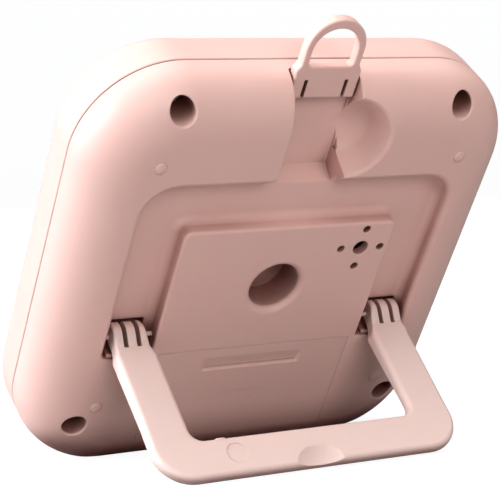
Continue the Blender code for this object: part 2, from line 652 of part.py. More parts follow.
def screw(name, x, z, seat, head_r, head, shaft_r, length):
    """Pan-head screw that points to the front, its head's underside at Y = seat."""
    body = turned(name, (x, seat - length, z), (0, 1, 0),
                  [(0, shaft_r * 0.5), (1.0, shaft_r), (length, shaft_r), (length, head_r),
                   (length + head * 0.55, head_r), (length + head, head_r * 0.7)], 18)
    cross = [box("cross", (x - a, x + a), (seat + head * 0.45, seat + head + 1), (z - b, z + b))
             for a, b in ((0.3, 1.2), (1.2, 0.3))]
    return finish(cut(body, *cross), "steel")


def wire(name, points, kind):
    """Thin insulated wire on a smooth path through the points."""
    smooth = []
    ends = [points[0]] + list(points) + [points[-1]]
    for k in range(1, len(ends) - 2):
        a, b, c, d = (Vector(p) for p in ends[k - 1:k + 3])
        for i in range(4):
            t = i / 4
            smooth.append(0.5 * (2 * b + (c - a) * t + (2 * a - 5 * b + 4 * c - d) * t ** 2
                                 + (3 * b - a - 3 * c + d) * t ** 3))
    smooth.append(Vector(points[-1]))
    curve = bpy.data.curves.new(name, "CURVE")
    curve.dimensions = "3D"
    curve.bevel_depth = 0.5 * MM
    curve.bevel_resolution = 1
    curve.use_fill_caps = True
    line = curve.splines.new("POLY")
    line.points.add(len(smooth) - 1)
    for spot, point in zip(line.points, smooth):
        spot.co = (*(point * MM), 1)
    curve.materials.append(MATERIALS[kind])
    obj = bpy.data.objects.new(name, curve)
    bpy.context.scene.collection.objects.link(obj)
    obj.parent = body_frame
    return obj


# ---------------------------------------------------------------- the clock

rear_shell()
front_shell()
shell_seal()
kickstand()
hanging_loop()
battery_cover()
battery_cell("battery_upper", CELL_Z[0], 1)
battery_cell("battery_lower", CELL_Z[1], -1)
coil_spring("contact_spring_upper", CELL_Z[0], -1)
coil_spring("contact_spring_lower", CELL_Z[1], 1)
contact_plate("contact_bridge", 1, (-43.0, -22.0), None)
contact_plate("contact_plate_minus", -1, (-31.6, -22.0), (-28.4, -25.2))
contact_plate("contact_plate_plus", -1, (-43.0, -33.2), (-39.6, -36.4))
display_window()
display_stack()
main_board()
sounder()
button_membrane()
for button_name, button_x in zip(BUTTON_NAMES, BUTTON_X):
    push_button(button_name, button_x)
    push_switch(button_name.split("_")[1], button_x)
for number, (screw_x, screw_z) in enumerate(WELLS, 1):
    screw(f"case_screw_{number}", screw_x, screw_z, WELL_FLOOR + GAP, 2.3, 1.7, 1.1, 12.0)
for number, (screw_x, screw_z) in enumerate(PCB_SCREWS, 1):
    screw(f"board_screw_{number}", screw_x, screw_z, PCB_BACK + GAP, 2.0, 1.2, 1.0, 6.0)
wire("wire_battery_minus", [(-24.7, -17.2, -26.8), (-24.5, -18.2, -24), (-21, -18.0, -19),
                            (-20, -19.0, -16)], "wire_black")
wire("wire_battery_plus", [(-24.7, -17.2, -38.0), (-28, -18.2, -34), (-29, -18.0, -26),
                           (-26, -19.0, -18)], "wire_red")
wire("wire_sounder_plus", [(-18.2, -12.4, 10.2), (-17.5, -15.5, 9), (-15, -18.0, 8),
                           (-13.5, -19.0, 7)], "wire_red")
wire("wire_sounder_minus", [(-22.2, -12.4, 10.2), (-23, -15.5, 8), (-21, -18.0, 5),
                            (-18, -19.0, 4)], "wire_black")


# ---------------------------------------------------------------- the lean, and the ground

def support(lean, points):
    """Lowest height of points on the (Y, Z) section once the clock leans back."""
    return min(z * math.cos(lean) - y * math.sin(lean) for y, z in points)


def section_points(obj):
    bpy.context.view_layer.update()
    return [(at.y, at.z) for at in (body_frame.matrix_world.inverted() @ obj.matrix_world @ v.co
                                    for v in obj.data.vertices)]


shell_points = section_points(bpy.data.objects["rear_shell"])
stand_points = section_points(bpy.data.objects["kickstand"])
low_lean, high_lean = math.radians(15), math.radians(60)
for _ in range(40):
    lean = (low_lean + high_lean) / 2
    if support(lean, stand_points) > support(lean, shell_points):
        low_lean = lean
    else:
        high_lean = lean
body_frame.rotation_euler = (-lean, 0, 0)
bpy.context.view_layer.update()
corners = [obj.matrix_world @ Vector(corner) for obj in bpy.data.objects if obj.data
           for corner in ([v.co for v in obj.data.vertices] if obj.type == "MESH" else [])]
body_frame.location = (0, -(min(c.y for c in corners) + max(c.y for c in corners)) / 2,
                       -min(c.z for c in corners))
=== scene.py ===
"""The looks of a small water-resistant table clock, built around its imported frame.

Pieces are modelled in millimetres in the clock's own frame: X runs across the clock, Y is the
outward normal of the back (Y = 0 is the flat back face) and Z runs up along the clock. CLOCK
takes that frame to the row frame, and STAND does the same for the folded kickstand.
"""

import json
import math

import bmesh
import bpy
from mathutils import Matrix, Vector


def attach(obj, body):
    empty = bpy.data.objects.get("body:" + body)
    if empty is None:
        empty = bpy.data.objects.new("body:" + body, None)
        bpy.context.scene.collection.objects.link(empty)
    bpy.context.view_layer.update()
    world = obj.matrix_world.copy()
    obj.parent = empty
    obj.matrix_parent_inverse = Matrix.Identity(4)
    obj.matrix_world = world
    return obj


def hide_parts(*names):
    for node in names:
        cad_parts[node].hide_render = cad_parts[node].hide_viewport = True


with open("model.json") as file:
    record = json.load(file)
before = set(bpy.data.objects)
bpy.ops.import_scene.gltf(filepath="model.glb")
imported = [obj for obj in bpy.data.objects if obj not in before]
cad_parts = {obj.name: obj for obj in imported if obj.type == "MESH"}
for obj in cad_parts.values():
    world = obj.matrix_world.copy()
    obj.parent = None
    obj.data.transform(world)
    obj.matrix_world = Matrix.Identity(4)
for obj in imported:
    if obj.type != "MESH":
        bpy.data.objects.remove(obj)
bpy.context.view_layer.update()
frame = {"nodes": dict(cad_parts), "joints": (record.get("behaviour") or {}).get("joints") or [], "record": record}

MM = 0.001
JOINTS = {joint["name"]: joint for joint in frame["joints"]}

# The clock's frame, from its joints: the loop slides down along it, the buttons press outwards
HINGE_Y, HINGE_Z = -2.7, -13.3
STAND_OPEN = math.radians(77.8)
ACROSS = Vector((1, 0, 0))
UP = -Vector(JOINTS["hanging_loop_slide"]["axis"])
OUT = Vector(JOINTS["button_set_press"]["axis"])
HINGE = Vector(JOINTS["kickstand_hinge"]["pos_m"])
ORIGIN = HINGE - (HINGE_Y * OUT + HINGE_Z * UP) * MM
CLOCK = (Matrix.Translation(ORIGIN) @ Matrix((ACROSS, OUT, UP)).transposed().to_4x4()
         @ Matrix.Scale(MM, 4))
STAND = (CLOCK @ Matrix.Translation((0, HINGE_Y, HINGE_Z))
         @ Matrix.Rotation(STAND_OPEN - math.pi, 4, "X"))


def span(name):
    """Lowest and highest corner of a CAD node in the clock's frame, in millimetres."""
    back = CLOCK.inverted()
    points = [back @ v.co for v in frame["nodes"][name].data.vertices]
    return (Vector([min(p[i] for p in points) for i in range(3)]),
            Vector([max(p[i] for p in points) for i in range(3)]))


# Body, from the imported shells
HALF, DEPTH = span("rear_shell")[1].x, -span("front_shell")[0].y
SEAM, FRONT_SEAM = -13.0, -13.3
CORNER = 22.5
BACK_IN, BACK_DEEP, FLAT_HALF = 12.9, 10.7, 42.1
FRONT_IN, FRONT_DEEP = 11.0, 10.7
LOWER_FULL = 0.33
WALL, SKIN, RIB = 3.0, 2.4, 2.2

# Plateau, moat and hinge pockets
PLATEAU_HALF, PLATEAU_TOP = 28.2, 17.6
MOAT_HALF, MOAT_TOP, MOAT_END, MOAT_FLOOR = 40.5, 30.2, -17.8, -4.8
MOAT_R, MOAT_END_R, PLATEAU_R, PLATEAU_END_R = 8.0, 1.2, 2.0, 0.2
SIDE_COVE, TOP_COVE, PLATEAU_COVE = 2.0, 3.4, 2.0
MOAT_LIP, END_LIP, PLATEAU_LIP = 1.4, 0.5, 0.7
POCKET_IN, POCKET_OUT = 29.9, 39.6
POCKET_TOP, POCKET_END, POCKET_FLOOR = -10.2, -16.7, -7.5
POCKET_R, POCKET_COVE, POCKET_LIP = 0.5, 0.3, 0.4
STOP_TOP, STOP_R = -0.6, 0.6
PEG_R, PEG_IN, PEG_OUT, PEG_GAP = 0.6, 27.5, 41.4, 0.15

# Channel, ramp and scoop
CHANNEL_HALF, CHANNEL_FLOOR = 8.8, -9.2
CHANNEL_COVE, CHANNEL_LIP = 0.3, 0.4
RAMP_TOP, RAMP_FOOT, RAMP_STEP = 29.2, 26.9, 0.05
SCOOP_X, SCOOP_Z, SCOOP_R, SCOOP_LIP = -8.2, 41.0, 9.4, 1.1
TRACK_HALF, TRACK_Y, TRACK_Z = 9.15, (-8.35, -6.85), (34.1, 51.9)

# Socket, sounder holes, screw wells and dots
SOCKET_Z, SOCKET_R, SOCKET_DEEP, SOCKET_LIP = -0.2, 6.4, 9.0, 1.6
SOUND_X, SOUND_Z, SOUND_ARM, SOUND_R = -20.2, 10.2, 5.45, 2.0
SOUND_END, SOUND_LIP = -4.0, 0.15
WELLS = ((-36.0, 48.75), (36.0, 48.75), (-43.2, -38.1), (43.2, -38.1))
WELL_R, WELL_FLOOR, WELL_LIP, WELL_HOLE_R = 2.9, -10.4, 0.45, 1.5
DOTS = ((-38.9, 35.8), (38.9, 35.8), (-38.9, -32.7), (38.9, -32.7))
DOT_R, DOT_PROUD, DOT_BASE, DOT_SKIRT = 1.5, 0.5, 0.1, -0.5

# Battery bay and cover
COVER_HALF, COVER_TOP, COVER_THICK, COVER_SEAM = 26.1, -17.8, 1.7, 0.02
BAY_HALF, BAY_TOP, BAY_END, BAY_FLOOR = 25.4, -20.6, -44.2, -13.9
TUB_FLOOR, TUB_WALL = -15.2, 1.6
CELL_Z = (-26.8, -38.0)
TAB_Z, TAB_LENGTH, COVER_TRAVEL = (-24.5, -33.5), 3.0, 6.5
TAB_WAY_HALF, TAB_WAY_FLOOR, TAB_WAY_IN, TAB_MOUTH = 27.9, -3.7, 24.3, 26.2
GROOVE_HALF, GROOVE_Z, GROOVE_R = 13.4, (-24.3, -20.7), 0.55
GROOVE_DEEP, GROOVE_COVE, GROOVE_LIP = 0.5, 0.15, 0.3
GROOVE_SLOPE, GROOVE_END_SLOPE = 4.8, 1.5
ARROW_HALF, ARROW_TOP, ARROW_TIP, ARROW_R, ARROW_DEEP = 6.5, -32.0, -37.0, 0.4, 0.06

# Front
WINDOW_HALF, WINDOW_Z, WINDOW_THICK, WINDOW_R = 38.5, (-9.5, 36.5), 1.2, 3.0
APERTURE_HALF, APERTURE_Z, APERTURE_R, PRINT_BORDER = 35.5, (-6.5, 33.5), 1.5, 3.2
BOSS_R, PILOT_R, PILOT_END = 3.6, 1.45, -23.6
FRONT_INSIDE = -DEPTH + 2.6
BUTTON_X = (-31.5, -10.5, 10.5, 31.5)
BUTTON_TAGS = ("set", "down", "up", "light")
BUTTON_Z, BUTTON_LONG, BUTTON_TALL, BUTTON_PROUD = -24.0, 15.0, 8.0, 0.5


# ---- camera

CAMERA_PLACE = Vector((203.64, 272.88, 234.73))         # in the clock's frame
CAMERA_RIGHT = Vector((-0.8747, 0.4144, 0.2513))
CAMERA_UP = Vector((-0.0592, -0.6060, 0.7933))
FOCAL_LENGTH = 126.47                                   # on a 36 mm sensor


def add_camera():
    turn = CLOCK.to_3x3() * (1 / MM)
    right = (turn @ CAMERA_RIGHT).normalized()
    back = right.cross(turn @ CAMERA_UP).normalized()
    axes = Matrix((right, back.cross(right), back)).transposed().to_4x4()
    data = bpy.data.cameras.new("camera")
    data.lens = FOCAL_LENGTH
    data.clip_start, data.clip_end = 0.01, 20
    camera = bpy.data.objects.new("camera", data)
    camera.matrix_world = Matrix.Translation(CLOCK @ CAMERA_PLACE) @ axes
    bpy.context.scene.collection.objects.link(camera)
    bpy.context.scene.camera = camera


# ---- outlines in the XZ plane

def arc(x, z, radius, start, end, steps):
    angles = [math.radians(start + (end - start) * k / steps) for k in range(steps + 1)]
    return [(x + radius * math.cos(a), z + radius * math.sin(a)) for a in angles]


def rounded(x0, x1, z0, z1, radius, steps=8):
    """Rectangle with round corners."""
    return (arc(x1 - radius, z1 - radius, radius, 0, 90, steps)
            + arc(x0 + radius, z1 - radius, radius, 90, 180, steps)
            + arc(x0 + radius, z0 + radius, radius, 180, 270, steps)
            + arc(x1 - radius, z0 + radius, radius, 270, 360, steps))


def square(inset, steps=20):
    """The clock's outline, moved inwards by inset."""
    half = HALF - inset
    return rounded(-half, half, -half, half, CORNER - inset, steps)


def filleted(corners, steps=6):
    """Polygon whose (x, z, radius) corners are rounded."""
    made = []
    for i, (x, z, radius) in enumerate(corners):
        here = Vector((x, z))
        before = (Vector(corners[i - 1][:2]) - here).normalized()
        after = (Vector(corners[(i + 1) % len(corners)][:2]) - here).normalized()
        half_angle = before.angle(after) / 2
        centre = here + (before + after).normalized() * radius / math.sin(half_angle)
        start = here + before * radius / math.tan(half_angle) - centre
        end = here + after * radius / math.tan(half_angle) - centre
        turn = start.angle_signed(end)
        for k in range(steps + 1):
            at = start.copy()
            at.rotate(Matrix.Rotation(-turn * k / steps, 2))
            made.append(tuple(centre + at))
    return made


def offset(outline, distance):
    """Moves a counter-clockwise outline inwards by distance."""
    made = []
    for i, point in enumerate(outline):
        here = Vector(point)
        before = (here - Vector(outline[i - 1])).normalized()
        after = (Vector(outline[(i + 1) % len(outline)]) - here).normalized()
        inward = Vector((-before.y - after.y, before.x + after.x)).normalized()
        share = max(0.5, inward.dot(Vector((-after.y, after.x))))
        made.append(tuple(here + inward * distance / share))
    return made


def growth(y, floor, cove, lip, top=0.0):
    """How far a basin's wall stands out at height y: coved at the floor, rounded at the lip."""
    if y - floor < cove:
        return math.sqrt(max(0, cove ** 2 - (cove - y + floor) ** 2)) - cove
    if top - y < lip:
        return lip - math.sqrt(max(0, lip ** 2 - (lip - max(top - y, 0)) ** 2))
    return 0.0


def levels(floor, cove, lip, top=0.0, steps=6):
    """Heights at which a basin's wall needs points, and one above its lip."""
    angles = [math.pi / 2 * k / steps for k in range(steps + 1)]
    return ([floor + cove * (1 - math.cos(a)) for a in angles]
            + [top - lip + lip * math.sin(a) for a in angles] + [top + 1.5])


# ---- solids

SHARP_ANGLE = math.radians(32)


def add_object(name, shape):
    bmesh.ops.recalc_face_normals(shape, faces=shape.faces)
    mesh = bpy.data.meshes.new(name)
    shape.to_mesh(mesh)
    shape.free()
    obj = bpy.data.objects.new(name, mesh)
    bpy.context.scene.collection.objects.link(obj)
    return obj


def bridge(shape, low, high):
    """Faces between two closed rows of equally many vertices."""
    for i in range(len(low)):
        j = (i + 1) % len(low)
        shape.faces.new((low[i], low[j], high[j], high[i]))


def skin_loops(name, loops, closed=False):
    """Solid through loops of points; closed joins the last loop to the first."""
    shape = bmesh.new()
    rows = [[shape.verts.new(point) for point in loop] for loop in loops]
    for low, high in list(zip(rows, rows[1:])) + ([(rows[-1], rows[0])] if closed else []):
        bridge(shape, low, high)
    if not closed:
        shape.faces.new(rows[0][::-1])
        shape.faces.new(rows[-1])
    return add_object(name, shape)


def loft(name, sections):
    """Solid through (Y, outline) sections with equally many points."""
    return skin_loops(name, [[(x, y, z) for x, z in outline] for y, outline in sections])


def prism(name, outline, y0, y1):
    return loft(name, [(y0, outline), (y1, outline)])


def box(name, x, y, z):
    return prism(name, [(x[0], z[0]), (x[1], z[0]), (x[1], z[1]), (x[0], z[1])], *y)


def tube(name, outer, inner, y0, y1):
    """Prism with a hole, between two outlines that have equally many points."""
    rings = ((y0, outer), (y1, outer), (y1, inner), (y0, inner))
    return skin_loops(name, [[(x, y, z) for x, z in outline] for y, outline in rings], True)


def circle(sides):
    """Cosine and sine at equal steps round a circle."""
    return [(math.cos(math.tau * k / sides), math.sin(math.tau * k / sides))
            for k in range(sides)]


def turned(name, x, z, profile, sides=40):
    """Solid of revolution about an axis along Y: profile lists (Y, radius)."""
    return skin_loops(name, [[(x + r * c, y, z + r * s) for c, s in circle(sides)]
                             for y, r in profile])


def turned_across(name, y, z, profile, sides=24):
    """Solid of revolution about an axis along X: profile lists (X, radius)."""
    return skin_loops(name, [[(x, y + r * c, z + r * s) for c, s in circle(sides)]
                             for x, r in profile])


def across(name, outline, x0, x1):
    """Prism along X from a (Z, Y) outline."""
    return skin_loops(name, [[(x, y, z) for z, y in outline] for x in (x0, x1)])


def basin(name, x, z, wall, bottom, lip, sides=48, steps=6):
    """Round basin whose rounded lip follows the back.

    wall gives its radius at a height, and bottom lists the (Y, radius) rings below.
    """
    ring = circle(sides)
    reach = wall(0) + lip / 2
    tops = [back_surface(x + reach * c, z + reach * s) for c, s in ring]
    loops = [[(x + r * c, y, z + r * s) for c, s in ring] for y, r in bottom]
    for k in range(steps + 1):
        angle = math.pi / 2 * k / steps
        spread, deep = lip * (1 - math.cos(angle)), lip * (1 - math.sin(angle))
        radii = [wall(top - deep) + spread for top in tops]
        loops.append([(x + r * c, top - deep, z + r * s)
                      for (c, s), r, top in zip(ring, radii, tops)])
    loops.append([(px, py + 3, pz) for px, py, pz in loops[-1]])
    return skin_loops(name, loops)


def combine(operation, target, *tools):
    """Cuts the tools from the target, or joins them to it, and drops the tools."""
    group = bpy.data.collections.new("tools")
    for tool in tools:
        group.objects.link(tool)
    step = target.modifiers.new("step", "BOOLEAN")
    step.operation = operation
    step.solver = "EXACT"
    step.operand_type = "COLLECTION"
    step.collection = group
    graph = bpy.context.evaluated_depsgraph_get()
    target.data = bpy.data.meshes.new_from_object(target.evaluated_get(graph))
    target.modifiers.clear()
    for tool in tools:
        bpy.data.objects.remove(tool, do_unlink=True)
    bpy.data.collections.remove(group)
    return target


def cut(target, *tools):
    return combine("DIFFERENCE", target, *tools)


def join(target, *tools):
    return combine("UNION", target, *tools)


def finish_piece(obj, body, look, replaced=(), place=CLOCK):
    """Puts a piece in the row frame, shades it, and ties it to its body, slot and nodes."""
    obj.data.transform(place)
    obj.data.materials.clear()
    obj.data.materials.append(look)
    obj.data.shade_smooth()
    obj.data.set_sharp_from_angle(angle=SHARP_ANGLE)
    weighted = obj.modifiers.new("even_normals", "WEIGHTED_NORMAL")
    weighted.keep_sharp = True
    weighted.weight = 80
    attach(obj, body)
    if replaced:
        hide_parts(*replaced)
    return obj


# ---- materials

def node(tree, kind, **values):
    made = tree.nodes.new(kind)
    for key, value in values.items():
        if key in made.inputs:
            made.inputs[key].default_value = value
        else:
            setattr(made, key, value)
    return made


def mapped(tree, value, low, high, start=0.0, end=1.0, **values):
    """Output that runs from start to end as the value goes from low to high."""
    made = node(tree, "ShaderNodeMapRange", **values)
    for name, number in (("From Min", low), ("From Max", high), ("To Min", start), ("To Max", end)):
        made.inputs[name].default_value = number
    tree.links.new(value, made.inputs["Value"])
    return made.outputs["Result"]


def mixed(tree, factor, first, second):
    """Mix of two colours, each of them a tuple or another node's output."""
    made = node(tree, "ShaderNodeMix", data_type="RGBA")
    tree.links.new(factor, made.inputs["Factor"])
    ports = [socket for socket in made.inputs if socket.type == "RGBA"]
    for port, colour in zip(ports, (first, second)):
        if isinstance(colour, tuple):
            port.default_value = (*colour, 1)
        else:
            tree.links.new(colour, port)
    return [socket for socket in made.outputs if socket.type == "RGBA"][0]


def worn_edges(tree, rounded_normal, specks, wear):
    """Factor that is high where the rounded normal leaves the true one, broken up by specks."""
    solid = node(tree, "ShaderNodeNewGeometry")
    alike = node(tree, "ShaderNodeVectorMath", operation="DOT_PRODUCT")
    tree.links.new(rounded_normal, alike.inputs[0])
    tree.links.new(solid.outputs["Normal"], alike.inputs[1])
    edge = mapped(tree, alike.outputs["Value"], 0.995, 0.80, 0.0, wear)
    broken = node(tree, "ShaderNodeMath", operation="MULTIPLY")
    tree.links.new(edge, broken.inputs[0])
    tree.links.new(specks, broken.inputs[1])
    return broken.outputs["Value"]


def moulded(name, colour, rough=0.42, grain=1.0, variation=0.05, wear=0.25, coat=0.0,
            metallic=0.0, scatter=0.0, hollow=None):
    """Moulded or plated surface: fine grain, slow tone changes, rubbed edges.

    hollow is the colour of painted shade: the base colour turns to it in recesses, corners and close to other
    parts, where little light gets in.
    """
    made = bpy.data.materials.new(name)
    made.use_nodes = True
    tree = made.node_tree
    link = tree.links.new
    shader = tree.nodes["Principled BSDF"]
    place = node(tree, "ShaderNodeTexCoord")
    clouds, specks, texture = [
        node(tree, "ShaderNodeTexNoise", Scale=scale, Detail=detail, Roughness=roughness)
        for scale, detail, roughness in ((38.0, 4.0, 0.55), (900.0, 3.0, 0.6), (3200.0, 2.0, 0.5))]
    for noise in (clouds, specks, texture):
        link(place.outputs["Object"], noise.inputs["Vector"])
    round_edge = node(tree, "ShaderNodeBevel", samples=4, Radius=0.0004)
    worn = worn_edges(tree, round_edge.outputs["Normal"], specks.outputs["Fac"], wear)

    tone = mapped(tree, clouds.outputs["Fac"], 0.3, 0.7)
    dark = tuple(c * (1 - variation) for c in colour)
    light = tuple(min(1.0, c * (1 + variation)) for c in colour)
    pale = tuple(c + (1 - c) * 0.35 for c in colour)
    surface = mixed(tree, worn, mixed(tree, tone, dark, light), pale)
    # Painted shade: where ambient occlusion finds little open space, the base colour is mixed towards the hollow
    # colour.
    if hollow:
        shade_occlusion = node(tree, "ShaderNodeAmbientOcclusion", samples=6, Distance=0.015)
        share = mapped(tree, shade_occlusion.outputs["AO"], 0.2, 0.65, interpolation_type="SMOOTHSTEP")
        surface = mixed(tree, share, hollow, surface)
    link(surface, shader.inputs["Base Color"])
    link(mapped(tree, specks.outputs["Fac"], 0.0, 1.0, rough - 0.06, rough + 0.08),
         shader.inputs["Roughness"])

    bump = node(tree, "ShaderNodeBump", Strength=0.25 * grain, Distance=0.00005)
    link(texture.outputs["Fac"], bump.inputs["Height"])
    link(round_edge.outputs["Normal"], bump.inputs["Normal"])
    link(bump.outputs["Normal"], shader.inputs["Normal"])
    shader.inputs["Metallic"].default_value = metallic
    shader.inputs["IOR"].default_value = 1.49
    if coat:
        shader.inputs["Coat Weight"].default_value = coat
        shader.inputs["Coat Roughness"].default_value = 0.12
    if scatter:
        shader.inputs["Subsurface Weight"].default_value = scatter
        shader.inputs["Subsurface Radius"].default_value = (1.0, 0.45, 0.35)
        shader.inputs["Subsurface Scale"].default_value = 0.0012
    return made


# The stand's pink is the shell's pink made paler: painted light, standing in for the bright light on the stand's
# upper face.
PINK, STAND_LIT_PINK = (0.79, 0.490, 0.430), (0.82, 0.60, 0.54)
# The hollow colours below are painted shade for the shell's and the stand's recesses and for the places close to
# other parts.
LOOKS = {
    "shell_pink": moulded("pink_plastic", PINK, rough=0.46, scatter=0.15, variation=0.012,
                          wear=0.35, hollow=(0.19, 0.06, 0.045)),
    "stand_pink": moulded("stand_plastic", STAND_LIT_PINK, rough=0.44, scatter=0.15, variation=0.012,
                          wear=0.4, hollow=(0.48, 0.29, 0.25)),
    "button": moulded("button_plastic", (0.80, 0.70, 0.67), rough=0.4, variation=0.02),
    "seal_rubber": moulded("seal_rubber", (0.20, 0.19, 0.19), rough=0.75, variation=0.15,
                           grain=2.0),
    "frame_white": moulded("white_plastic", (0.80, 0.80, 0.77), rough=0.5, variation=0.03),
    "light_guide": moulded("guide_acrylic", (0.88, 0.91, 0.92), rough=0.2, variation=0.02,
                           grain=0.3, coat=0.4),
    "board": moulded("board_mask", (0.03, 0.20, 0.09), rough=0.4, variation=0.2, coat=0.3),
    "chip_black": moulded("black_epoxy", (0.02, 0.02, 0.022), rough=0.35, variation=0.3),
    "switch_black": moulded("black_moulding", (0.045, 0.045, 0.05), rough=0.5, variation=0.2),
    "steel": moulded("nickel_plate", (0.68, 0.66, 0.61), rough=0.28, variation=0.08,
                     metallic=1.0, wear=0.5),
    "cell_sleeve": moulded("cell_sleeve", (0.10, 0.14, 0.22), rough=0.3, variation=0.12,
                           coat=0.5),
    "wire_red": moulded("red_insulation", (0.50, 0.035, 0.03), rough=0.45, variation=0.08),
    "wire_black": moulded("black_insulation", (0.03, 0.03, 0.03), rough=0.5, variation=0.2),
    "lcd_glass": moulded("lcd_glass", (0.50, 0.54, 0.46), rough=0.16, variation=0.03,
                         grain=0.2, coat=0.6),
    "ink": moulded("display_ink", (0.015, 0.018, 0.02), rough=0.3, variation=0.2, grain=0.3),
    "mask": moulded("window_print", (0.03, 0.03, 0.035), rough=0.35, variation=0.2, grain=0.3),
}


def clear_look():
    """Tinted clear acrylic with a hard polished face."""
    made = moulded("clear_acrylic", (0.86, 0.88, 0.88), rough=0.07, variation=0.01, grain=0.05)
    shader = made.node_tree.nodes["Principled BSDF"]
    shader.inputs["Transmission Weight"].default_value = 1.0
    return made


LOOKS["window"] = clear_look()


# ---- rear case

def lowered(outline, inset):
    """Fuller lower edge: stretches the lower half of an outline that lies inset from the side."""
    stretch = 1 + LOWER_FULL * inset / HALF
    return [(x, z * stretch if z < 0 else z) for x, z in outline]


def edge_sections(seam, flat, wide, deep, sign, steps=14):
    """Sections over an elliptical edge rounding, from the side wall to the flat face."""
    made = [(seam, square(0.2)), (seam + sign * 0.2, square(0))]
    for k in range(steps + 1):
        angle = math.pi / 2 * k / steps
        made.append((flat - sign * deep + sign * deep * math.sin(angle),
                     square(wide * (1 - math.cos(angle)))))
    return made


def rear_outer(name):
    return loft(name, [(y, lowered(outline, HALF - max(x for x, z in outline)))
                       for y, outline in edge_sections(SEAM, 0, BACK_IN, BACK_DEEP, 1)])


def back_surface(x, z):
    """Y of the rear case's outer surface."""
    x, bend, inset = abs(x), HALF - CORNER, 0.0
    for _ in range(4):
        high = z if z > 0 else -z / (1 + LOWER_FULL * inset / HALF)
        inset = HALF - max(x, high)
        if min(x, high) > bend:
            inset = CORNER - math.hypot(x - bend, high - bend)
        inset = min(BACK_IN, max(0.0, inset))
    share = min(1.0, max(0.0, BACK_IN - inset) / BACK_IN)
    return -BACK_DEEP * (1 - math.sqrt(1 - share ** 2))


def moat_outline(side, top, end, inner):
    """The moat's U, with its outer sides, top, lower ends and plateau sides moved outwards."""
    half, roof, foot = MOAT_HALF + side, MOAT_TOP + top, MOAT_END - end
    inside, crest = PLATEAU_HALF - inner, PLATEAU_TOP - inner
    right = [(half, foot, MOAT_END_R), (half, roof, MOAT_R + side)]
    left = [(-half, roof, MOAT_R + side), (-half, foot, MOAT_END_R)]
    hollow = [(-inside, foot, PLATEAU_END_R), (-inside, crest, PLATEAU_R - inner),
              (inside, crest, PLATEAU_R - inner), (inside, foot, PLATEAU_END_R)]
    return filleted(right + left + hollow)


def moat():
    heights = sorted(set(levels(MOAT_FLOOR, SIDE_COVE, MOAT_LIP)
                         + levels(MOAT_FLOOR, TOP_COVE, PLATEAU_LIP)))
    return loft("moat", [(y, moat_outline(growth(y, MOAT_FLOOR, SIDE_COVE, MOAT_LIP),
                                          growth(y, MOAT_FLOOR, TOP_COVE, MOAT_LIP),
                                          growth(y, MOAT_FLOOR, SIDE_COVE, END_LIP),
                                          growth(y, MOAT_FLOOR, PLATEAU_COVE, PLATEAU_LIP)))
                         for y in heights])


def channel_floor(z):
    """The channel's flat floor, and the ramp that rises from it to the moat's floor."""
    share = min(1.0, max(0.0, (RAMP_TOP - z) / (RAMP_TOP - RAMP_FOOT)))
    return CHANNEL_FLOOR + (MOAT_FLOOR + RAMP_STEP - CHANNEL_FLOOR) * share


def channel(cove=CHANNEL_COVE, lip=CHANNEL_LIP, steps=4):
    """Trough along Z whose lips follow the back's surface over the top edge."""
    stations = [RAMP_FOOT - 2.5, RAMP_FOOT, RAMP_TOP, 36.0]
    stations += [FLAT_HALF + (HALF - FLAT_HALF) * math.sin(math.pi / 2 * k / 14)
                 for k in range(15)]
    loops = []
    for z in stations + [HALF + 2]:
        floor = channel_floor(z)
        top = max(back_surface(0, min(z, HALF)), floor + cove + lip)
        half_profile = []
        for k in range(steps + 1):
            a = math.pi / 2 * k / steps
            half_profile.append((CHANNEL_HALF - cove + cove * math.sin(a),
                                 floor + cove * (1 - math.cos(a))))
        for k in range(steps + 1):
            a = math.pi / 2 * k / steps
            half_profile.append((CHANNEL_HALF + lip * (1 - math.cos(a)),
                                 top - lip * (1 - math.sin(a))))
        half_profile.append((CHANNEL_HALF + lip, top + 3))
        loops.append([(x, y, z) for x, y in half_profile]
                     + [(-x, y, z) for x, y in reversed(half_profile)])
    return skin_loops("channel", loops)


def scoop():
    """Spherical finger scoop beside the channel, with a broad soft lip."""
    angles = [math.radians(2 + 8 * k) for k in range(7)]
    return basin("scoop", SCOOP_X, SCOOP_Z, lambda y: math.sqrt(SCOOP_R ** 2 - y ** 2),
                 [(-SCOOP_R * math.cos(a), SCOOP_R * math.sin(a)) for a in angles], SCOOP_LIP, 56)


def stand_pegs(name, grow, reach):
    return [turned_across(name, HINGE_Y, HINGE_Z,
                          [(side * (PEG_IN - reach), PEG_R + grow),
                           (side * (PEG_OUT + reach), PEG_R + grow)])
            for side in (-1, 1)]


def side_pair(name, x0, x1, y, z):
    return [box(name, (side * x0, side * x1)[::side], y, z) for side in (-1, 1)]


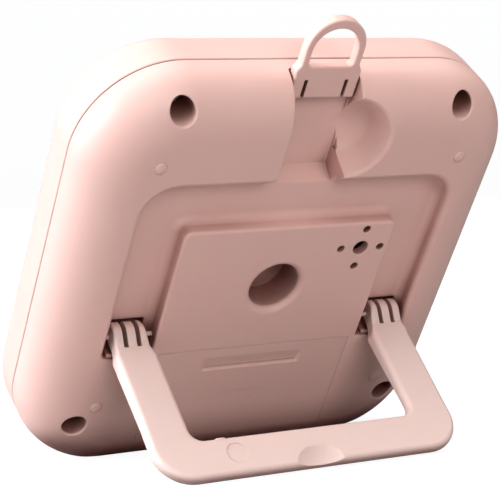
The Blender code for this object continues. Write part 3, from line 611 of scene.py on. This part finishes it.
def rear_hollow():
    """The space inside the rear case, around the walls of everything cut into its back."""
    hollow = loft("hollow", [(y, square(inset, 6)) for y, inset in
                             ((SEAM - 1, WALL), (-BACK_DEEP, WALL), (-7.0, WALL + 1.0),
                              (-4.0, WALL + 4.0), (-SKIN, BACK_IN))])
    tab_half, channel_half = TAB_WAY_HALF + RIB, CHANNEL_HALF + RIB
    moat_half = MOAT_HALF + RIB
    kept = [prism("moat_walls", rounded(-moat_half, moat_half, MOAT_END - RIB, MOAT_TOP + RIB, 10),
                  MOAT_FLOOR - RIB, 1),
            box("channel_walls", (-channel_half, channel_half), (CHANNEL_FLOOR - RIB, 1),
                (RAMP_FOOT - RIB, HALF + 1)),
            turned("scoop_wall", SCOOP_X, SCOOP_Z, [(-SCOOP_R - RIB, SCOOP_R + 1),
                                                    (1, SCOOP_R + 3)]),
            box("bay_walls", (-tab_half, tab_half), (TAB_WAY_FLOOR - RIB, 1),
                (BAY_END - RIB, BAY_TOP + RIB)),
            tub_solid(SEAM - 2, 1)]
    kept += side_pair("pocket_walls", POCKET_IN - RIB, POCKET_OUT + RIB, (POCKET_FLOOR - RIB, 0),
                      (MOAT_END - RIB, POCKET_TOP + RIB))
    kept += [turned("well_wall", x, z, [(SEAM - 2, WELL_R + RIB), (1, WELL_R + RIB)], 20)
             for x, z in WELLS]
    return cut(hollow, *kept)


def tub_solid(y0, y1):
    return box("tub", (-BAY_HALF - TUB_WALL, BAY_HALF + TUB_WALL), (y0, y1),
               (BAY_END - TUB_WALL, BAY_TOP + TUB_WALL))


def hinge_pockets():
    """Hollows under the hinges, rounded where they meet the moat's floor."""
    middle, half = (POCKET_IN + POCKET_OUT) / 2, (POCKET_OUT - POCKET_IN) / 2
    pockets = []
    for side in (-1, 1):
        sections = []
        for y in levels(POCKET_FLOOR, POCKET_COVE, POCKET_LIP, MOAT_FLOOR):
            top = POCKET_TOP + growth(y, POCKET_FLOOR, POCKET_COVE, POCKET_LIP, MOAT_FLOOR)
            sections.append((y, rounded(side * middle - half, side * middle + half, POCKET_END, top,
                                        POCKET_R, 3)))
        pockets.append(loft("pocket", sections))
    return pockets


def stand_stops():
    """Blocks at the pockets' lower ends that the open stand leans on."""
    rings = ((MOAT_FLOOR - 0.6, 0), (STOP_TOP - 0.5, 0), (STOP_TOP - 0.15, 0.15), (STOP_TOP, 0.5))
    stops = []
    for side in (-1, 1):
        low, high = (side * POCKET_IN, side * POCKET_OUT)[::side]
        stops.append(loft("stop", [
            (y, rounded(low + inset, high - inset, MOAT_END - 2, POCKET_END - inset, STOP_R, 3))
            for y, inset in rings]))
    return stops


def sounder_holes():
    """One hole for the sounder, and four half as wide around it."""
    holes = []
    for dx, dz in ((0, 0), (1, 0), (-1, 0), (0, 1), (0, -1)):
        radius = SOUND_R / 2 if dx or dz else SOUND_R
        holes.append(basin("sound", SOUND_X + SOUND_ARM * dx, SOUND_Z + SOUND_ARM * dz,
                           lambda y: radius, [(SOUND_END, radius)], SOUND_LIP, 28, 3))
    return holes


def socket():
    """The round socket in the middle of the plateau."""
    return basin("socket", 0, SOCKET_Z, lambda y: SOCKET_R,
                 [(-SOCKET_DEEP, SOCKET_R - 0.6), (0.3 - SOCKET_DEEP, SOCKET_R - 0.1),
                  (0.8 - SOCKET_DEEP, SOCKET_R)], SOCKET_LIP, 72, 9)


def screw_wells():
    """Wells for the case screws, each with a hole for the screw's shank."""
    holes = []
    for x, z in WELLS:
        holes.append(basin("well", x, z, lambda y: WELL_R,
                           [(WELL_FLOOR, WELL_R - 0.3), (WELL_FLOOR + 0.3, WELL_R)], WELL_LIP, 40))
        holes.append(turned("well_hole", x, z, [(SEAM - 1, WELL_HOLE_R),
                                                (WELL_FLOOR + 1, WELL_HOLE_R)]))
    return holes


def dots():
    """Low domes on the back, with skirts that reach into the shell."""
    dome = [(DOT_BASE + (DOT_PROUD - DOT_BASE) * math.cos(a), DOT_R * math.sin(a))
            for a in (math.radians(3 + 14.5 * k) for k in range(7))]
    return [turned("dot", x, z, dome + [(DOT_SKIRT, DOT_R)], 28) for x, z in DOTS]


def bay_slots():
    """The ways that the cover's tabs slide in, and the slots for the cell contacts' tails."""
    slots = []
    for z in TAB_Z:
        low, high = z - COVER_TRAVEL - 0.3, z + TAB_LENGTH + 0.3
        slots += side_pair("tab_way", TAB_WAY_IN, TAB_WAY_HALF, (TAB_WAY_FLOOR, -2.1), (low, high))
        slots += side_pair("tab_mouth", TAB_WAY_IN, TAB_MOUTH, (-3.0, -1.8), (low, high))
    return slots + [box("tail_slot", (-25.3, -24.0), (TUB_FLOOR - 1, BAY_FLOOR + 1),
                        (z - 2.2, z + 2.2)) for z in CELL_Z]


def rear_case():
    shell = cut(rear_outer("rear_case"), rear_hollow())
    cut(shell, box("plateau_hollow", (RIB - PLATEAU_HALF, PLATEAU_HALF - RIB), (SEAM - 1, -SKIN),
                   (BAY_TOP + 2 * RIB, PLATEAU_TOP - RIB)))
    join(shell, turned("socket_cup", 0, SOCKET_Z, [(-SOCKET_DEEP - RIB, SOCKET_R + RIB),
                                                   (-1, SOCKET_R + RIB)]),
         tub_solid(TUB_FLOOR, -11.0))
    cut(shell, moat(), *hinge_pockets())
    join(shell, *stand_stops())
    cut(shell, channel(), scoop(), box("track", (-TRACK_HALF, TRACK_HALF), TRACK_Y, TRACK_Z))
    cut(shell, *stand_pegs("peg_hole", PEG_GAP, 0.3), *sounder_holes(), socket(), *screw_wells())
    join(shell, *dots())
    cut(shell, box("cover_seat", (-COVER_HALF, COVER_HALF), (-COVER_THICK - 0.3, 1),
                   (-60, COVER_TOP)),
        box("bay", (-BAY_HALF, BAY_HALF), (BAY_FLOOR, -1), (BAY_END, BAY_TOP)))
    cut(shell, *bay_slots())
    return finish_piece(shell, "clock_body", LOOKS["shell_pink"], ["rear_shell"])


# ---- front case, window, buttons

def button_outline(x, grow):
    half_long, half_tall = BUTTON_LONG / 2 + grow, BUTTON_TALL / 2 + grow
    return rounded(x - half_long, x + half_long, BUTTON_Z - half_tall, BUTTON_Z + half_tall,
                   half_tall - 0.01, 12)


def front_case():
    outer = loft("front_case",
                 edge_sections(FRONT_SEAM, -DEPTH, FRONT_IN, FRONT_DEEP, -1))
    hollow = loft("hollow", [(y, square(inset, 6)) for y, inset in
                             ((SEAM + 1, WALL), (FRONT_DEEP - DEPTH, WALL), (-23.0, WALL + 1.0),
                              (-25.5, WALL + 4.0), (FRONT_INSIDE, FRONT_IN))])
    bosses = [turned("boss", x, z, [(-DEPTH, BOSS_R), (FRONT_SEAM, BOSS_R)], 24)
              for x, z in WELLS]
    shell = cut(outer, cut(hollow, *bosses))
    recess = [(-DEPTH - 1, -0.9), (-DEPTH, -0.9), (-DEPTH + 0.12, -0.55), (-DEPTH + 0.35, -0.35),
              (-DEPTH + 0.7, -0.3), (-DEPTH + WINDOW_THICK + 0.3, -0.3)]
    window_low, window_high = WINDOW_Z
    recess = loft("recess", [(y, rounded(-WINDOW_HALF + g, WINDOW_HALF - g, window_low + g,
                                         window_high - g, WINDOW_R + 0.3 - g)) for y, g in recess])
    aperture = prism("aperture", rounded(-APERTURE_HALF, APERTURE_HALF, *APERTURE_Z, APERTURE_R),
                     -DEPTH - 1, FRONT_INSIDE + 1)
    groove = tube("groove", square(0.9, 8), square(2.1, 8), SEAM - 1.8, SEAM + 1)
    holes = []
    for x in BUTTON_X:
        holes.append(loft("button_hole", [
            (-DEPTH - 1, button_outline(x, 0.75)), (-DEPTH, button_outline(x, 0.75)),
            (-DEPTH + 0.13, button_outline(x, 0.45)), (-DEPTH + 0.45, button_outline(x, 0.3)),
            (FRONT_INSIDE + 1, button_outline(x, 0.3))]))
    pilots = [turned("pilot", x, z, [(PILOT_END, PILOT_R), (SEAM + 1, PILOT_R)], 16)
              for x, z in WELLS]
    cut(shell, recess, aperture, groove, *holes, *pilots)
    return finish_piece(shell, "clock_body", LOOKS["shell_pink"], ["front_shell"])


def window_pane():
    """The clear pane, and the dark border printed on its inner face."""
    low, high = WINDOW_Z
    sections = [(-DEPTH + y, rounded(-WINDOW_HALF + g, WINDOW_HALF - g, low + g, high - g,
                                     WINDOW_R - g))
                for y, g in ((0, 0.45), (0.07, 0.2), (0.25, 0.05), (0.45, 0), (WINDOW_THICK, 0))]
    pane = loft("window_pane", sections)
    finish_piece(pane, "clock_body", LOOKS["window"], ["display_window"])
    mask = tube("window_mask", rounded(-WINDOW_HALF + 0.3, WINDOW_HALF - 0.3, low + 0.3,
                                       high - 0.3, WINDOW_R - 0.2),
                rounded(-APERTURE_HALF + PRINT_BORDER, APERTURE_HALF - PRINT_BORDER,
                        APERTURE_Z[0] + PRINT_BORDER, APERTURE_Z[1] - PRINT_BORDER, 1.2),
                -DEPTH + WINDOW_THICK + 0.04, -DEPTH + WINDOW_THICK + 0.16)
    finish_piece(mask, "clock_body", LOOKS["mask"])


SEGMENTS = {"a": ((0, 2), (1, 2)), "b": ((1, 1), (1, 2)), "c": ((1, 0), (1, 1)),
            "d": ((0, 0), (1, 0)), "e": ((0, 0), (0, 1)), "f": ((0, 1), (0, 2)),
            "g": ((0, 1), (1, 1))}
DIGITS = {"0": "abcdef", "1": "bc", "2": "abged", "3": "abgcd", "4": "fgbc", "5": "afgcd",
          "6": "afgedc", "7": "abc", "8": "abcdefg", "9": "abcdfg"}


def digit_bars(digit, x, z, width, height, thick):
    """Pointed bars of a seven-segment digit; seen from the front, X runs to the right."""
    bars = []
    for letter in DIGITS[digit]:
        (x0, z0), (x1, z1) = SEGMENTS[letter]
        start = Vector((x + x0 * width, z + z0 * height / 2))
        end = Vector((x + x1 * width, z + z1 * height / 2))
        along = (end - start).normalized()
        aside = Vector((-along.y, along.x)) * thick / 2
        start, end = start + along * thick * 0.12, end - along * thick * 0.12
        tip = along * thick / 2
        bars.append([start, start + tip - aside, end - tip - aside, end, end - tip + aside,
                     start + tip + aside])
    return bars


def time_bars():
    """Bars of four digits with a colon between, and of two small digits below."""
    bars = []
    width, height, thick, step, foot, colon = 8.6, 19.0, 2.3, 13.6, 5.0, 1.1
    left = -1.5 * step - width / 2 - 1.6
    for k, digit in enumerate("1028"):
        bars += digit_bars(digit, left + k * step + (3.2 if k > 1 else 0), foot, width, height,
                           thick)
    for dz in (5.0, 13.0):
        bars.append([Vector((x, foot + dz + z)) for x, z in
                     ((-colon, -colon), (colon, -colon), (colon, colon), (-colon, colon))])
    for k, digit in enumerate("24"):
        bars += digit_bars(digit, 19.0 + 5.0 * k, -2.0, 3.0, 5.4, 0.8)
    return bars


def lcd_digits():
    """A plain time of day in seven-segment bars on the display's front face."""
    face = span("lcd_panel")[0].y
    shape = bmesh.new()
    for bar in time_bars():
        low = [shape.verts.new((p.x, face - 0.02, p.y)) for p in bar]
        high = [shape.verts.new((p.x, face - 0.07, p.y)) for p in bar]
        bridge(shape, low, high)
        shape.faces.new(low[::-1])
        shape.faces.new(high)
    digits = add_object("lcd_digits", shape)
    finish_piece(digits, "clock_body", LOOKS["ink"])


def button_cap(tag, x):
    """Pill-shaped key with a rounded edge, a shallow dish and a small generic symbol."""
    face = -DEPTH - BUTTON_PROUD
    sections = [(FRONT_INSIDE - 0.4, button_outline(x, 0)), (face + 0.7, button_outline(x, 0)),
                (face + 0.42, button_outline(x, -0.07)), (face + 0.2, button_outline(x, -0.22)),
                (face + 0.06, button_outline(x, -0.45)), (face, button_outline(x, -0.75))]
    sections += [(face + dish, button_outline(x, -shrink))
                 for dish, shrink in ((0.03, 1.3), (0.10, 2.0), (0.17, 2.8), (0.2, 3.6))]
    cap = loft("button_cap_" + tag, sections)
    stem = turned("stem", x, BUTTON_Z, [(FRONT_INSIDE - 1.5, 1.5), (-25.5, 1.5), (-25.5, 2.4),
                                        (-24.9, 2.4), (-24.9, 1.5), (-24.4, 1.5)], 24)
    join(cap, stem)
    symbols = {"up": filleted([(x - 1.6, BUTTON_Z - 1, 0.2), (x + 1.6, BUTTON_Z - 1, 0.2),
                               (x, BUTTON_Z + 1.4, 0.2)]),
               "down": filleted([(x - 1.6, BUTTON_Z + 1, 0.2), (x, BUTTON_Z - 1.4, 0.2),
                                 (x + 1.6, BUTTON_Z + 1, 0.2)]),
               "set": rounded(x - 1.3, x + 1.3, BUTTON_Z - 1.3, BUTTON_Z + 1.3, 0.4),
               "light": arc(x, BUTTON_Z, 1.4, 0, 348, 29)}
    cut(cap, prism("symbol", symbols[tag], face - 1, face + 0.4))
    finish_piece(cap, "button_" + tag, LOOKS["button"], ["button_" + tag])


# ---- kickstand

STAND_THICK, STAND_EDGE = 3.25, 1.3
LEG_IN, LEG_OUT = 29.3, 39.7
FORK_IN, FORK_OUT = 30.4, 39.1
BAR_IN, BAR_OUT, BAR_HALF = 31.4, 41.45, 40.0
BAR_IN_R, BAR_OUT_R = 3.0, 9.0
KNUCKLE_R, TIP_R, TIP_Z = 3.4, STAND_THICK / 2, -0.8
HEEL_THICK, HEEL_Z = 2.6, (3.6, 6.5, 10.0, 26.0)
FORK_LENGTH, FORK_SLOT = 4.4, 1.15
RAMP_END = FORK_LENGTH - 0.2
NUB_X, NUB_Y, NUB_Z, NUB_R = (21.2, 24.2), 1.1, 0.5, 0.5
MARK_X, MARK_Z, MARK_R, MARK_DEEP = 20.0, 36.0, 2.6, 0.12
SCALLOP_SIZE, SCALLOP_LIFT = (9.3, 4.0, 7.1), 2.85


def between(value, table):
    """Straight-line reading of a table of (position, value) pairs."""
    for (p0, v0), (p1, v1) in zip(table, table[1:]):
        if value <= p1:
            return v0 + (v1 - v0) * max(0.0, value - p0) / (p1 - p0)
    return table[-1][1]


def stand_height(z):
    """Heights of the stand's upper and lower faces from its middle."""
    half = STAND_THICK / 2
    start = math.atan2(half, RAMP_END) + math.acos(KNUCKLE_R / math.hypot(half, RAMP_END))
    if z < KNUCKLE_R * math.cos(start):
        upper = math.sqrt(KNUCKLE_R ** 2 - z ** 2)
    else:
        upper = between(z, ((KNUCKLE_R * math.cos(start), KNUCKLE_R * math.sin(start)),
                            (RAMP_END - 0.3, half + 0.18), (RAMP_END + 0.3, half)))
    if z < TIP_Z:
        return upper, math.sqrt(max(0.0, TIP_R ** 2 - (z - TIP_Z) ** 2))
    return upper, between(z, list(zip(HEEL_Z, (half, HEEL_THICK, HEEL_THICK, half))))


def stand_ring(inner, outer, upper, lower, edge):
    """Rounded cross-section between a point on the inner outline and one on the outer."""
    inner, outer = Vector(inner), Vector(outer)
    width = (outer - inner).length
    edge = min(edge, (upper + lower) * 0.42, width * 0.3)
    ring = []
    for a, y in rounded(0, width, -upper, lower, edge, 5):
        x, z = inner.lerp(outer, a / width)
        ring.append((x, y, z))
    return ring


def stand_stations():
    """Pairs of inner and outer outline points from the right finger tips to the bar's middle."""
    legs = (-2.41, -2.36, -2.2, -1.9, -1.4, -0.8, 0, 0.6, 1.2, 1.8, 2.4, 3.0, 3.6, 3.9, 4.2,
            4.5, 4.9, 5.3, 5.9, 6.5, 7.2, 8.0, 10, 14, 18, 22, 26)
    inner_x = ((-2.4, FORK_IN + 0.9), (4.5, FORK_IN), (5.1, FORK_IN - 0.25),
               (6.3, LEG_IN + 0.25), (7.2, LEG_IN))
    outer_x = ((4.5, FORK_OUT), (5.1, FORK_OUT + 0.12), (6.3, LEG_OUT - 0.12), (7.2, LEG_OUT),
               (26, BAR_HALF - 0.1))
    pairs = [((between(z, inner_x), z), (between(z, outer_x), z)) for z in legs]
    pairs += list(zip(arc(LEG_IN - BAR_IN_R, BAR_IN - BAR_IN_R, BAR_IN_R, 0, 90, 10),
                      arc(BAR_HALF - BAR_OUT_R, BAR_OUT - BAR_OUT_R, BAR_OUT_R, 0, 90, 10)))
    pairs += [((x, BAR_IN), (x * 1.12, BAR_OUT)) for x in (22, 18, 14, 10, 7, 4, 1.5)]
    return pairs


def stand_frame():
    """The U of the stand as one skin of rounded cross-sections."""
    half = []
    for inner, outer in stand_stations():
        z = inner[1]
        upper, lower = stand_height(z)
        edge = between(z, ((FORK_LENGTH, 0.6), (8.0, STAND_EDGE)))
        if z < -2.3:
            shrink = 0.35 if z < -2.4 else 0.12
            inner, outer = (inner[0] + shrink, z), (outer[0] - shrink, z)
            upper, lower = upper - shrink, max(lower, 0.05) - shrink
        half.append(stand_ring(inner, outer, upper, lower, edge))
    mirrored = [[(-x, y, z) for x, y, z in ring] for ring in reversed(half)]
    return skin_loops("stand_frame", half + mirrored)


def fork_slots():
    """Slots that part each leg's end into three fingers, longer on the upper face."""
    half, reach = STAND_THICK / 2, 6
    finger = (FORK_OUT - FORK_IN - 2 * FORK_SLOT) / 3
    slot = [(-reach, -reach), (FORK_LENGTH + 0.2, -reach), (FORK_LENGTH + 0.1, -half),
            (FORK_LENGTH - 1.6, half), (FORK_LENGTH - 1.6, reach), (-reach, reach)]
    slots = []
    for side in (-1, 1):
        for k in (1, 2):
            start = FORK_IN + k * finger + (k - 1) * FORK_SLOT
            slots.append(across("slot", slot, side * start, side * (start + FORK_SLOT)))
    return slots


def hinge_pegs():
    """Pegs on both sides of each fork, chamfered at their free ends."""
    pegs = []
    for side in (-1, 1):
        pegs.append(turned_across("peg", 0, 0, [(side * PEG_IN, PEG_R - 0.25),
                                                (side * (PEG_IN + 0.25), PEG_R),
                                                (side * (FORK_IN + 1), PEG_R)]))
        pegs.append(turned_across("peg", 0, 0, [(side * (FORK_OUT - 1), PEG_R),
                                                (side * (PEG_OUT - 0.25), PEG_R),
                                                (side * PEG_OUT, PEG_R - 0.25)]))
    return pegs


def gate_nub():
    """What is left of the moulding gate, on the bar's inner edge."""
    start, end = NUB_X
    return turned_across("nub", -NUB_Y, BAR_IN + NUB_Z, [
        (start, 0.1), (start + 0.3, NUB_R - 0.1), (start + 0.8, NUB_R),
        (end - 0.8, NUB_R), (end - 0.3, NUB_R - 0.1), (end, 0.1)])


def ejector_mark():
    """Faint round mark in the bar's upper face."""
    floor = MARK_DEEP - STAND_THICK / 2
    return turned("ejector_mark", MARK_X, MARK_Z, [
        (-STAND_THICK / 2 - 1, MARK_R), (floor, MARK_R), (floor, 0.1)], 48)


def kickstand():
    stand = stand_frame()
    cut(stand, *fork_slots())
    cut(stand, thumb_scallop(), ejector_mark())
    join(stand, *hinge_pegs(), gate_nub())
    finish_piece(stand, "kickstand", LOOKS["stand_pink"], ["kickstand"], STAND)


def thumb_scallop():
    """Shallow dish in the upper face at the bar's outer edge."""
    shape = bmesh.new()
    bmesh.ops.create_uvsphere(shape, u_segments=64, v_segments=32, radius=1)
    bmesh.ops.scale(shape, vec=SCALLOP_SIZE, verts=shape.verts)
    bmesh.ops.translate(shape, vec=(0, -STAND_THICK / 2 - SCALLOP_LIFT, BAR_OUT),
                        verts=shape.verts)
    return add_object("scallop", shape)


# ---- hanging loop

LOOP_BACK, LOOP_FRONT = -6.2, -8.9
LOOP_FOOT, LOOP_TIP = 48.9, 68.9
LOOP_HALF, LOOP_BASE_HALF, LOOP_EDGE = 7.5, 8.4, 0.45
LOOP_HOLE_HALF, LOOP_HOLE_FOOT, LOOP_HOLE_R = 5.8, 57.0, 1.2
SHOULDER_LOW, SHOULDER_HIGH, SHOULDER_R = 55.9, 57.4, 0.8
ARM_SLOT, ARM_SLOT_TOP = (4.75, 5.65), 53.7
TONGUE_X, TONGUE_Y, TONGUE_Z = (8.0, 9.0), (-8.2, -7.0), (49.4, 51.6)


def rounded_slab(name, outline, y0, y1, edge):
    """Slab whose edges are rounded on both faces."""
    sections = []
    for k in range(5):
        a = math.pi / 2 * k / 4
        sections.append((y0 + edge * (1 - math.cos(a)), offset(outline, edge * (1 - math.sin(a)))))
    sections += [(y0 + y1 - y, section) for y, section in reversed(sections)]
    return loft(name, sections)


def loop_outline():
    """Foot, shoulders and round crown of the loop."""
    right = [(LOOP_BASE_HALF, LOOP_FOOT, 0.5), (LOOP_BASE_HALF, SHOULDER_LOW, SHOULDER_R),
             (LOOP_HALF, SHOULDER_HIGH, SHOULDER_R), (LOOP_HALF, LOOP_TIP, LOOP_HALF - 0.02)]
    return filleted(right + [(-x, z, radius) for x, z, radius in reversed(right)], 14)


def loop_hole():
    """The loop's opening, rounded over at both faces."""
    hole_top = LOOP_TIP - LOOP_HALF + LOOP_HOLE_HALF - 0.6
    sections = []
    for y in levels(LOOP_FRONT, 0.01, LOOP_EDGE, LOOP_BACK):
        grow = max(growth(y, LOOP_FRONT - 9, 0, LOOP_EDGE, LOOP_BACK),
                   growth(LOOP_FRONT + LOOP_BACK - y, LOOP_FRONT - 9, 0, LOOP_EDGE, LOOP_BACK))
        half = LOOP_HOLE_HALF + grow
        sections.append((y, filleted([(half, LOOP_HOLE_FOOT - grow, LOOP_HOLE_R),
                                      (half, hole_top + grow, half - 0.02),
                                      (-half, hole_top + grow, half - 0.02),
                                      (-half, LOOP_HOLE_FOOT - grow, LOOP_HOLE_R)], 12)))
    return loft("hole", [(LOOP_FRONT - 1, sections[0][1])] + sections)


def hanging_loop():
    loop = rounded_slab("loop", loop_outline(), LOOP_FRONT, LOOP_BACK, LOOP_EDGE)
    cut(loop, loop_hole(), *side_pair("arm_slot", *ARM_SLOT, (-12, 0), (40, ARM_SLOT_TOP)))
    join(loop, *side_pair("tongue", *TONGUE_X, TONGUE_Y, TONGUE_Z))
    finish_piece(loop, "hanging_loop", LOOKS["shell_pink"], ["hanging_loop"])


# ---- battery cover

def thumb_groove():
    """Thumb groove whose upper side and ends slope down to its floor."""
    groove = []
    low, high = GROOVE_Z
    for y in levels(-GROOVE_DEEP, GROOVE_COVE, GROOVE_LIP):
        g = growth(y, -GROOVE_DEEP, GROOVE_COVE, GROOVE_LIP)
        rise, ends = GROOVE_SLOPE * min(0.0, y), GROOVE_END_SLOPE * min(0.0, y)
        groove.append((y, rounded(-GROOVE_HALF - g - ends, GROOVE_HALF + g + ends, low - g,
                                  high + g + rise, GROOVE_R)))
    return loft("thumb_groove", groove)


def arrow():
    """Shallow triangle that points the way the cover slides off."""
    return prism("arrow", filleted([(-ARROW_HALF, ARROW_TOP, ARROW_R), (0, ARROW_TIP, ARROW_R),
                                    (ARROW_HALF, ARROW_TOP, ARROW_R)]), -ARROW_DEEP, 1)


def cover_tabs():
    """L-shaped tabs that hook under the sides of the opening."""
    tabs = []
    for z in TAB_Z:
        tabs += side_pair("tab_leg", 24.7, 25.8, (-3.4, -1.4), (z, z + TAB_LENGTH))
        tabs += side_pair("tab", 25.2, 27.5, (-3.4, -2.4), (z, z + TAB_LENGTH))
    return tabs


def battery_cover():
    """The part of the case's own skin that lies in the opening, so that the two run on."""
    cover = rear_outer("cover")
    half, top = COVER_HALF - COVER_SEAM, COVER_TOP - COVER_SEAM
    around = box("around", (-70, 70), (-30, 5), (-70, 70))
    cut(around, box("opening", (-half, half), (-COVER_THICK, 6), (-71, top)))
    cut(cover, around)
    cut(cover, thumb_groove(), arrow())
    join(cover, *cover_tabs())
    finish_piece(cover, "battery_cover", LOOKS["shell_pink"], ["battery_cover"])


# ---- carried-over CAD nodes

def carried_over():
    """Every CAD node that stays gets its slot's procedural material."""
    slots = {part["node"]: part["material_slot"] for part in frame["record"]["subparts"]}
    for name, obj in frame["nodes"].items():
        if not obj.hide_render:
            obj.data.materials.clear()
            obj.data.materials.append(LOOKS[slots[name]])


# ---- floor and light

def round_sheet(name, line, colour, glow=0.0, sides=72):
    """Sheet turned about the vertical through the clock, from (radius, height) points."""
    shape = bmesh.new()
    rows = [[shape.verts.new((r * c, r * s, height)) for c, s in circle(sides)]
            for r, height in line]
    for low, high in zip(rows, rows[1:]):
        bridge(shape, low, high)
    shape.faces.new(rows[0])
    sheet = add_object(name, shape)
    sheet.data.shade_smooth()
    look = moulded(name + "_paper", colour, rough=0.75, variation=0.004, wear=0.0, grain=0.1)
    shader = look.node_tree.nodes["Principled BSDF"]
    shader.inputs["Emission Color"].default_value = (1, 1, 1, 1)
    shader.inputs["Emission Strength"].default_value = glow
    sheet.data.materials.append(look)
    return sheet


def add_floor():
    """Grey floor that bounces the light, under a white cove that shows and lights nothing."""
    bounce = round_sheet("bounce_floor", [(0.1, -0.0002), (1.6, -0.0002)], (0.29, 0.28, 0.28))
    bounce.visible_camera = False
    wall = [(1.6 + 0.6 * math.sin(a), 0.6 - 0.6 * math.cos(a))
            for a in (math.radians(9 * k) for k in range(11))]
    cove = round_sheet("white_cove", [(0.1, 0.0)] + wall + [(2.2, 3.0)], (0.10, 0.10, 0.10), 0.93)
    cove.visible_diffuse = cove.visible_glossy = cove.visible_transmission = False
    cove.visible_shadow = False


def area_light(name, place, aim, size, power, colour):
    data = bpy.data.lights.new(name, "AREA")
    data.shape = "RECTANGLE"
    data.size, data.size_y = size
    data.energy = power
    data.color = colour
    light = bpy.data.objects.new(name, data)
    light.location = place
    direction = Vector(aim) - Vector(place)
    light.rotation_euler = direction.to_track_quat("-Z", "Y").to_euler()
    bpy.context.scene.collection.objects.link(light)


def add_lights():
    middle, white, cool = (0, 0, 0.05), (1, 1, 1), (0.92, 1.0, 1.06)
    for name, place, size, power, colour in (
            ("overhead", (0.1, -0.15, 1.4), (1.2, 1.0), 9.4, white),
            ("overhead_fore", (0.1, -0.8, 1.1), (1.2, 0.8), 3.0, white),
            ("overhead_aft", (0.1, 0.35, 1.4), (1.2, 0.8), 2.9, white),
            ("back_high", (0.1, 0.9, 1.2), (1.2, 0.8), 4.0, white),
            ("back_low", (0.2, 1.5, 0.5), (1.0, 0.6), 10.6, white),
            ("side_fore", (1.2, -0.7, 0.6), (0.8, 0.8), 18.0, cool),
            ("side", (1.4, 0.0, 0.6), (0.8, 0.8), 21.9, cool),
            ("side_fill", (-0.9, 0.1, 1.1), (0.9, 0.9), 3.5, white)):
        area_light(name, place, middle, size, power, colour)
    world = bpy.data.worlds.new("studio")
    bpy.context.scene.world = world
    world.use_nodes = True
    background = world.node_tree.nodes["Background"]
    background.inputs["Color"].default_value = (1, 1, 1, 1)
    background.inputs["Strength"].default_value = 0.02


# ---- the clock

bpy.context.scene.view_settings.view_transform = "Standard"
add_camera()
add_floor()
add_lights()
rear_case()
front_case()
window_pane()
lcd_digits()
for button_tag, button_x in zip(BUTTON_TAGS, BUTTON_X):
    button_cap(button_tag, button_x)
kickstand()
hanging_loop()
battery_cover()
carried_over()
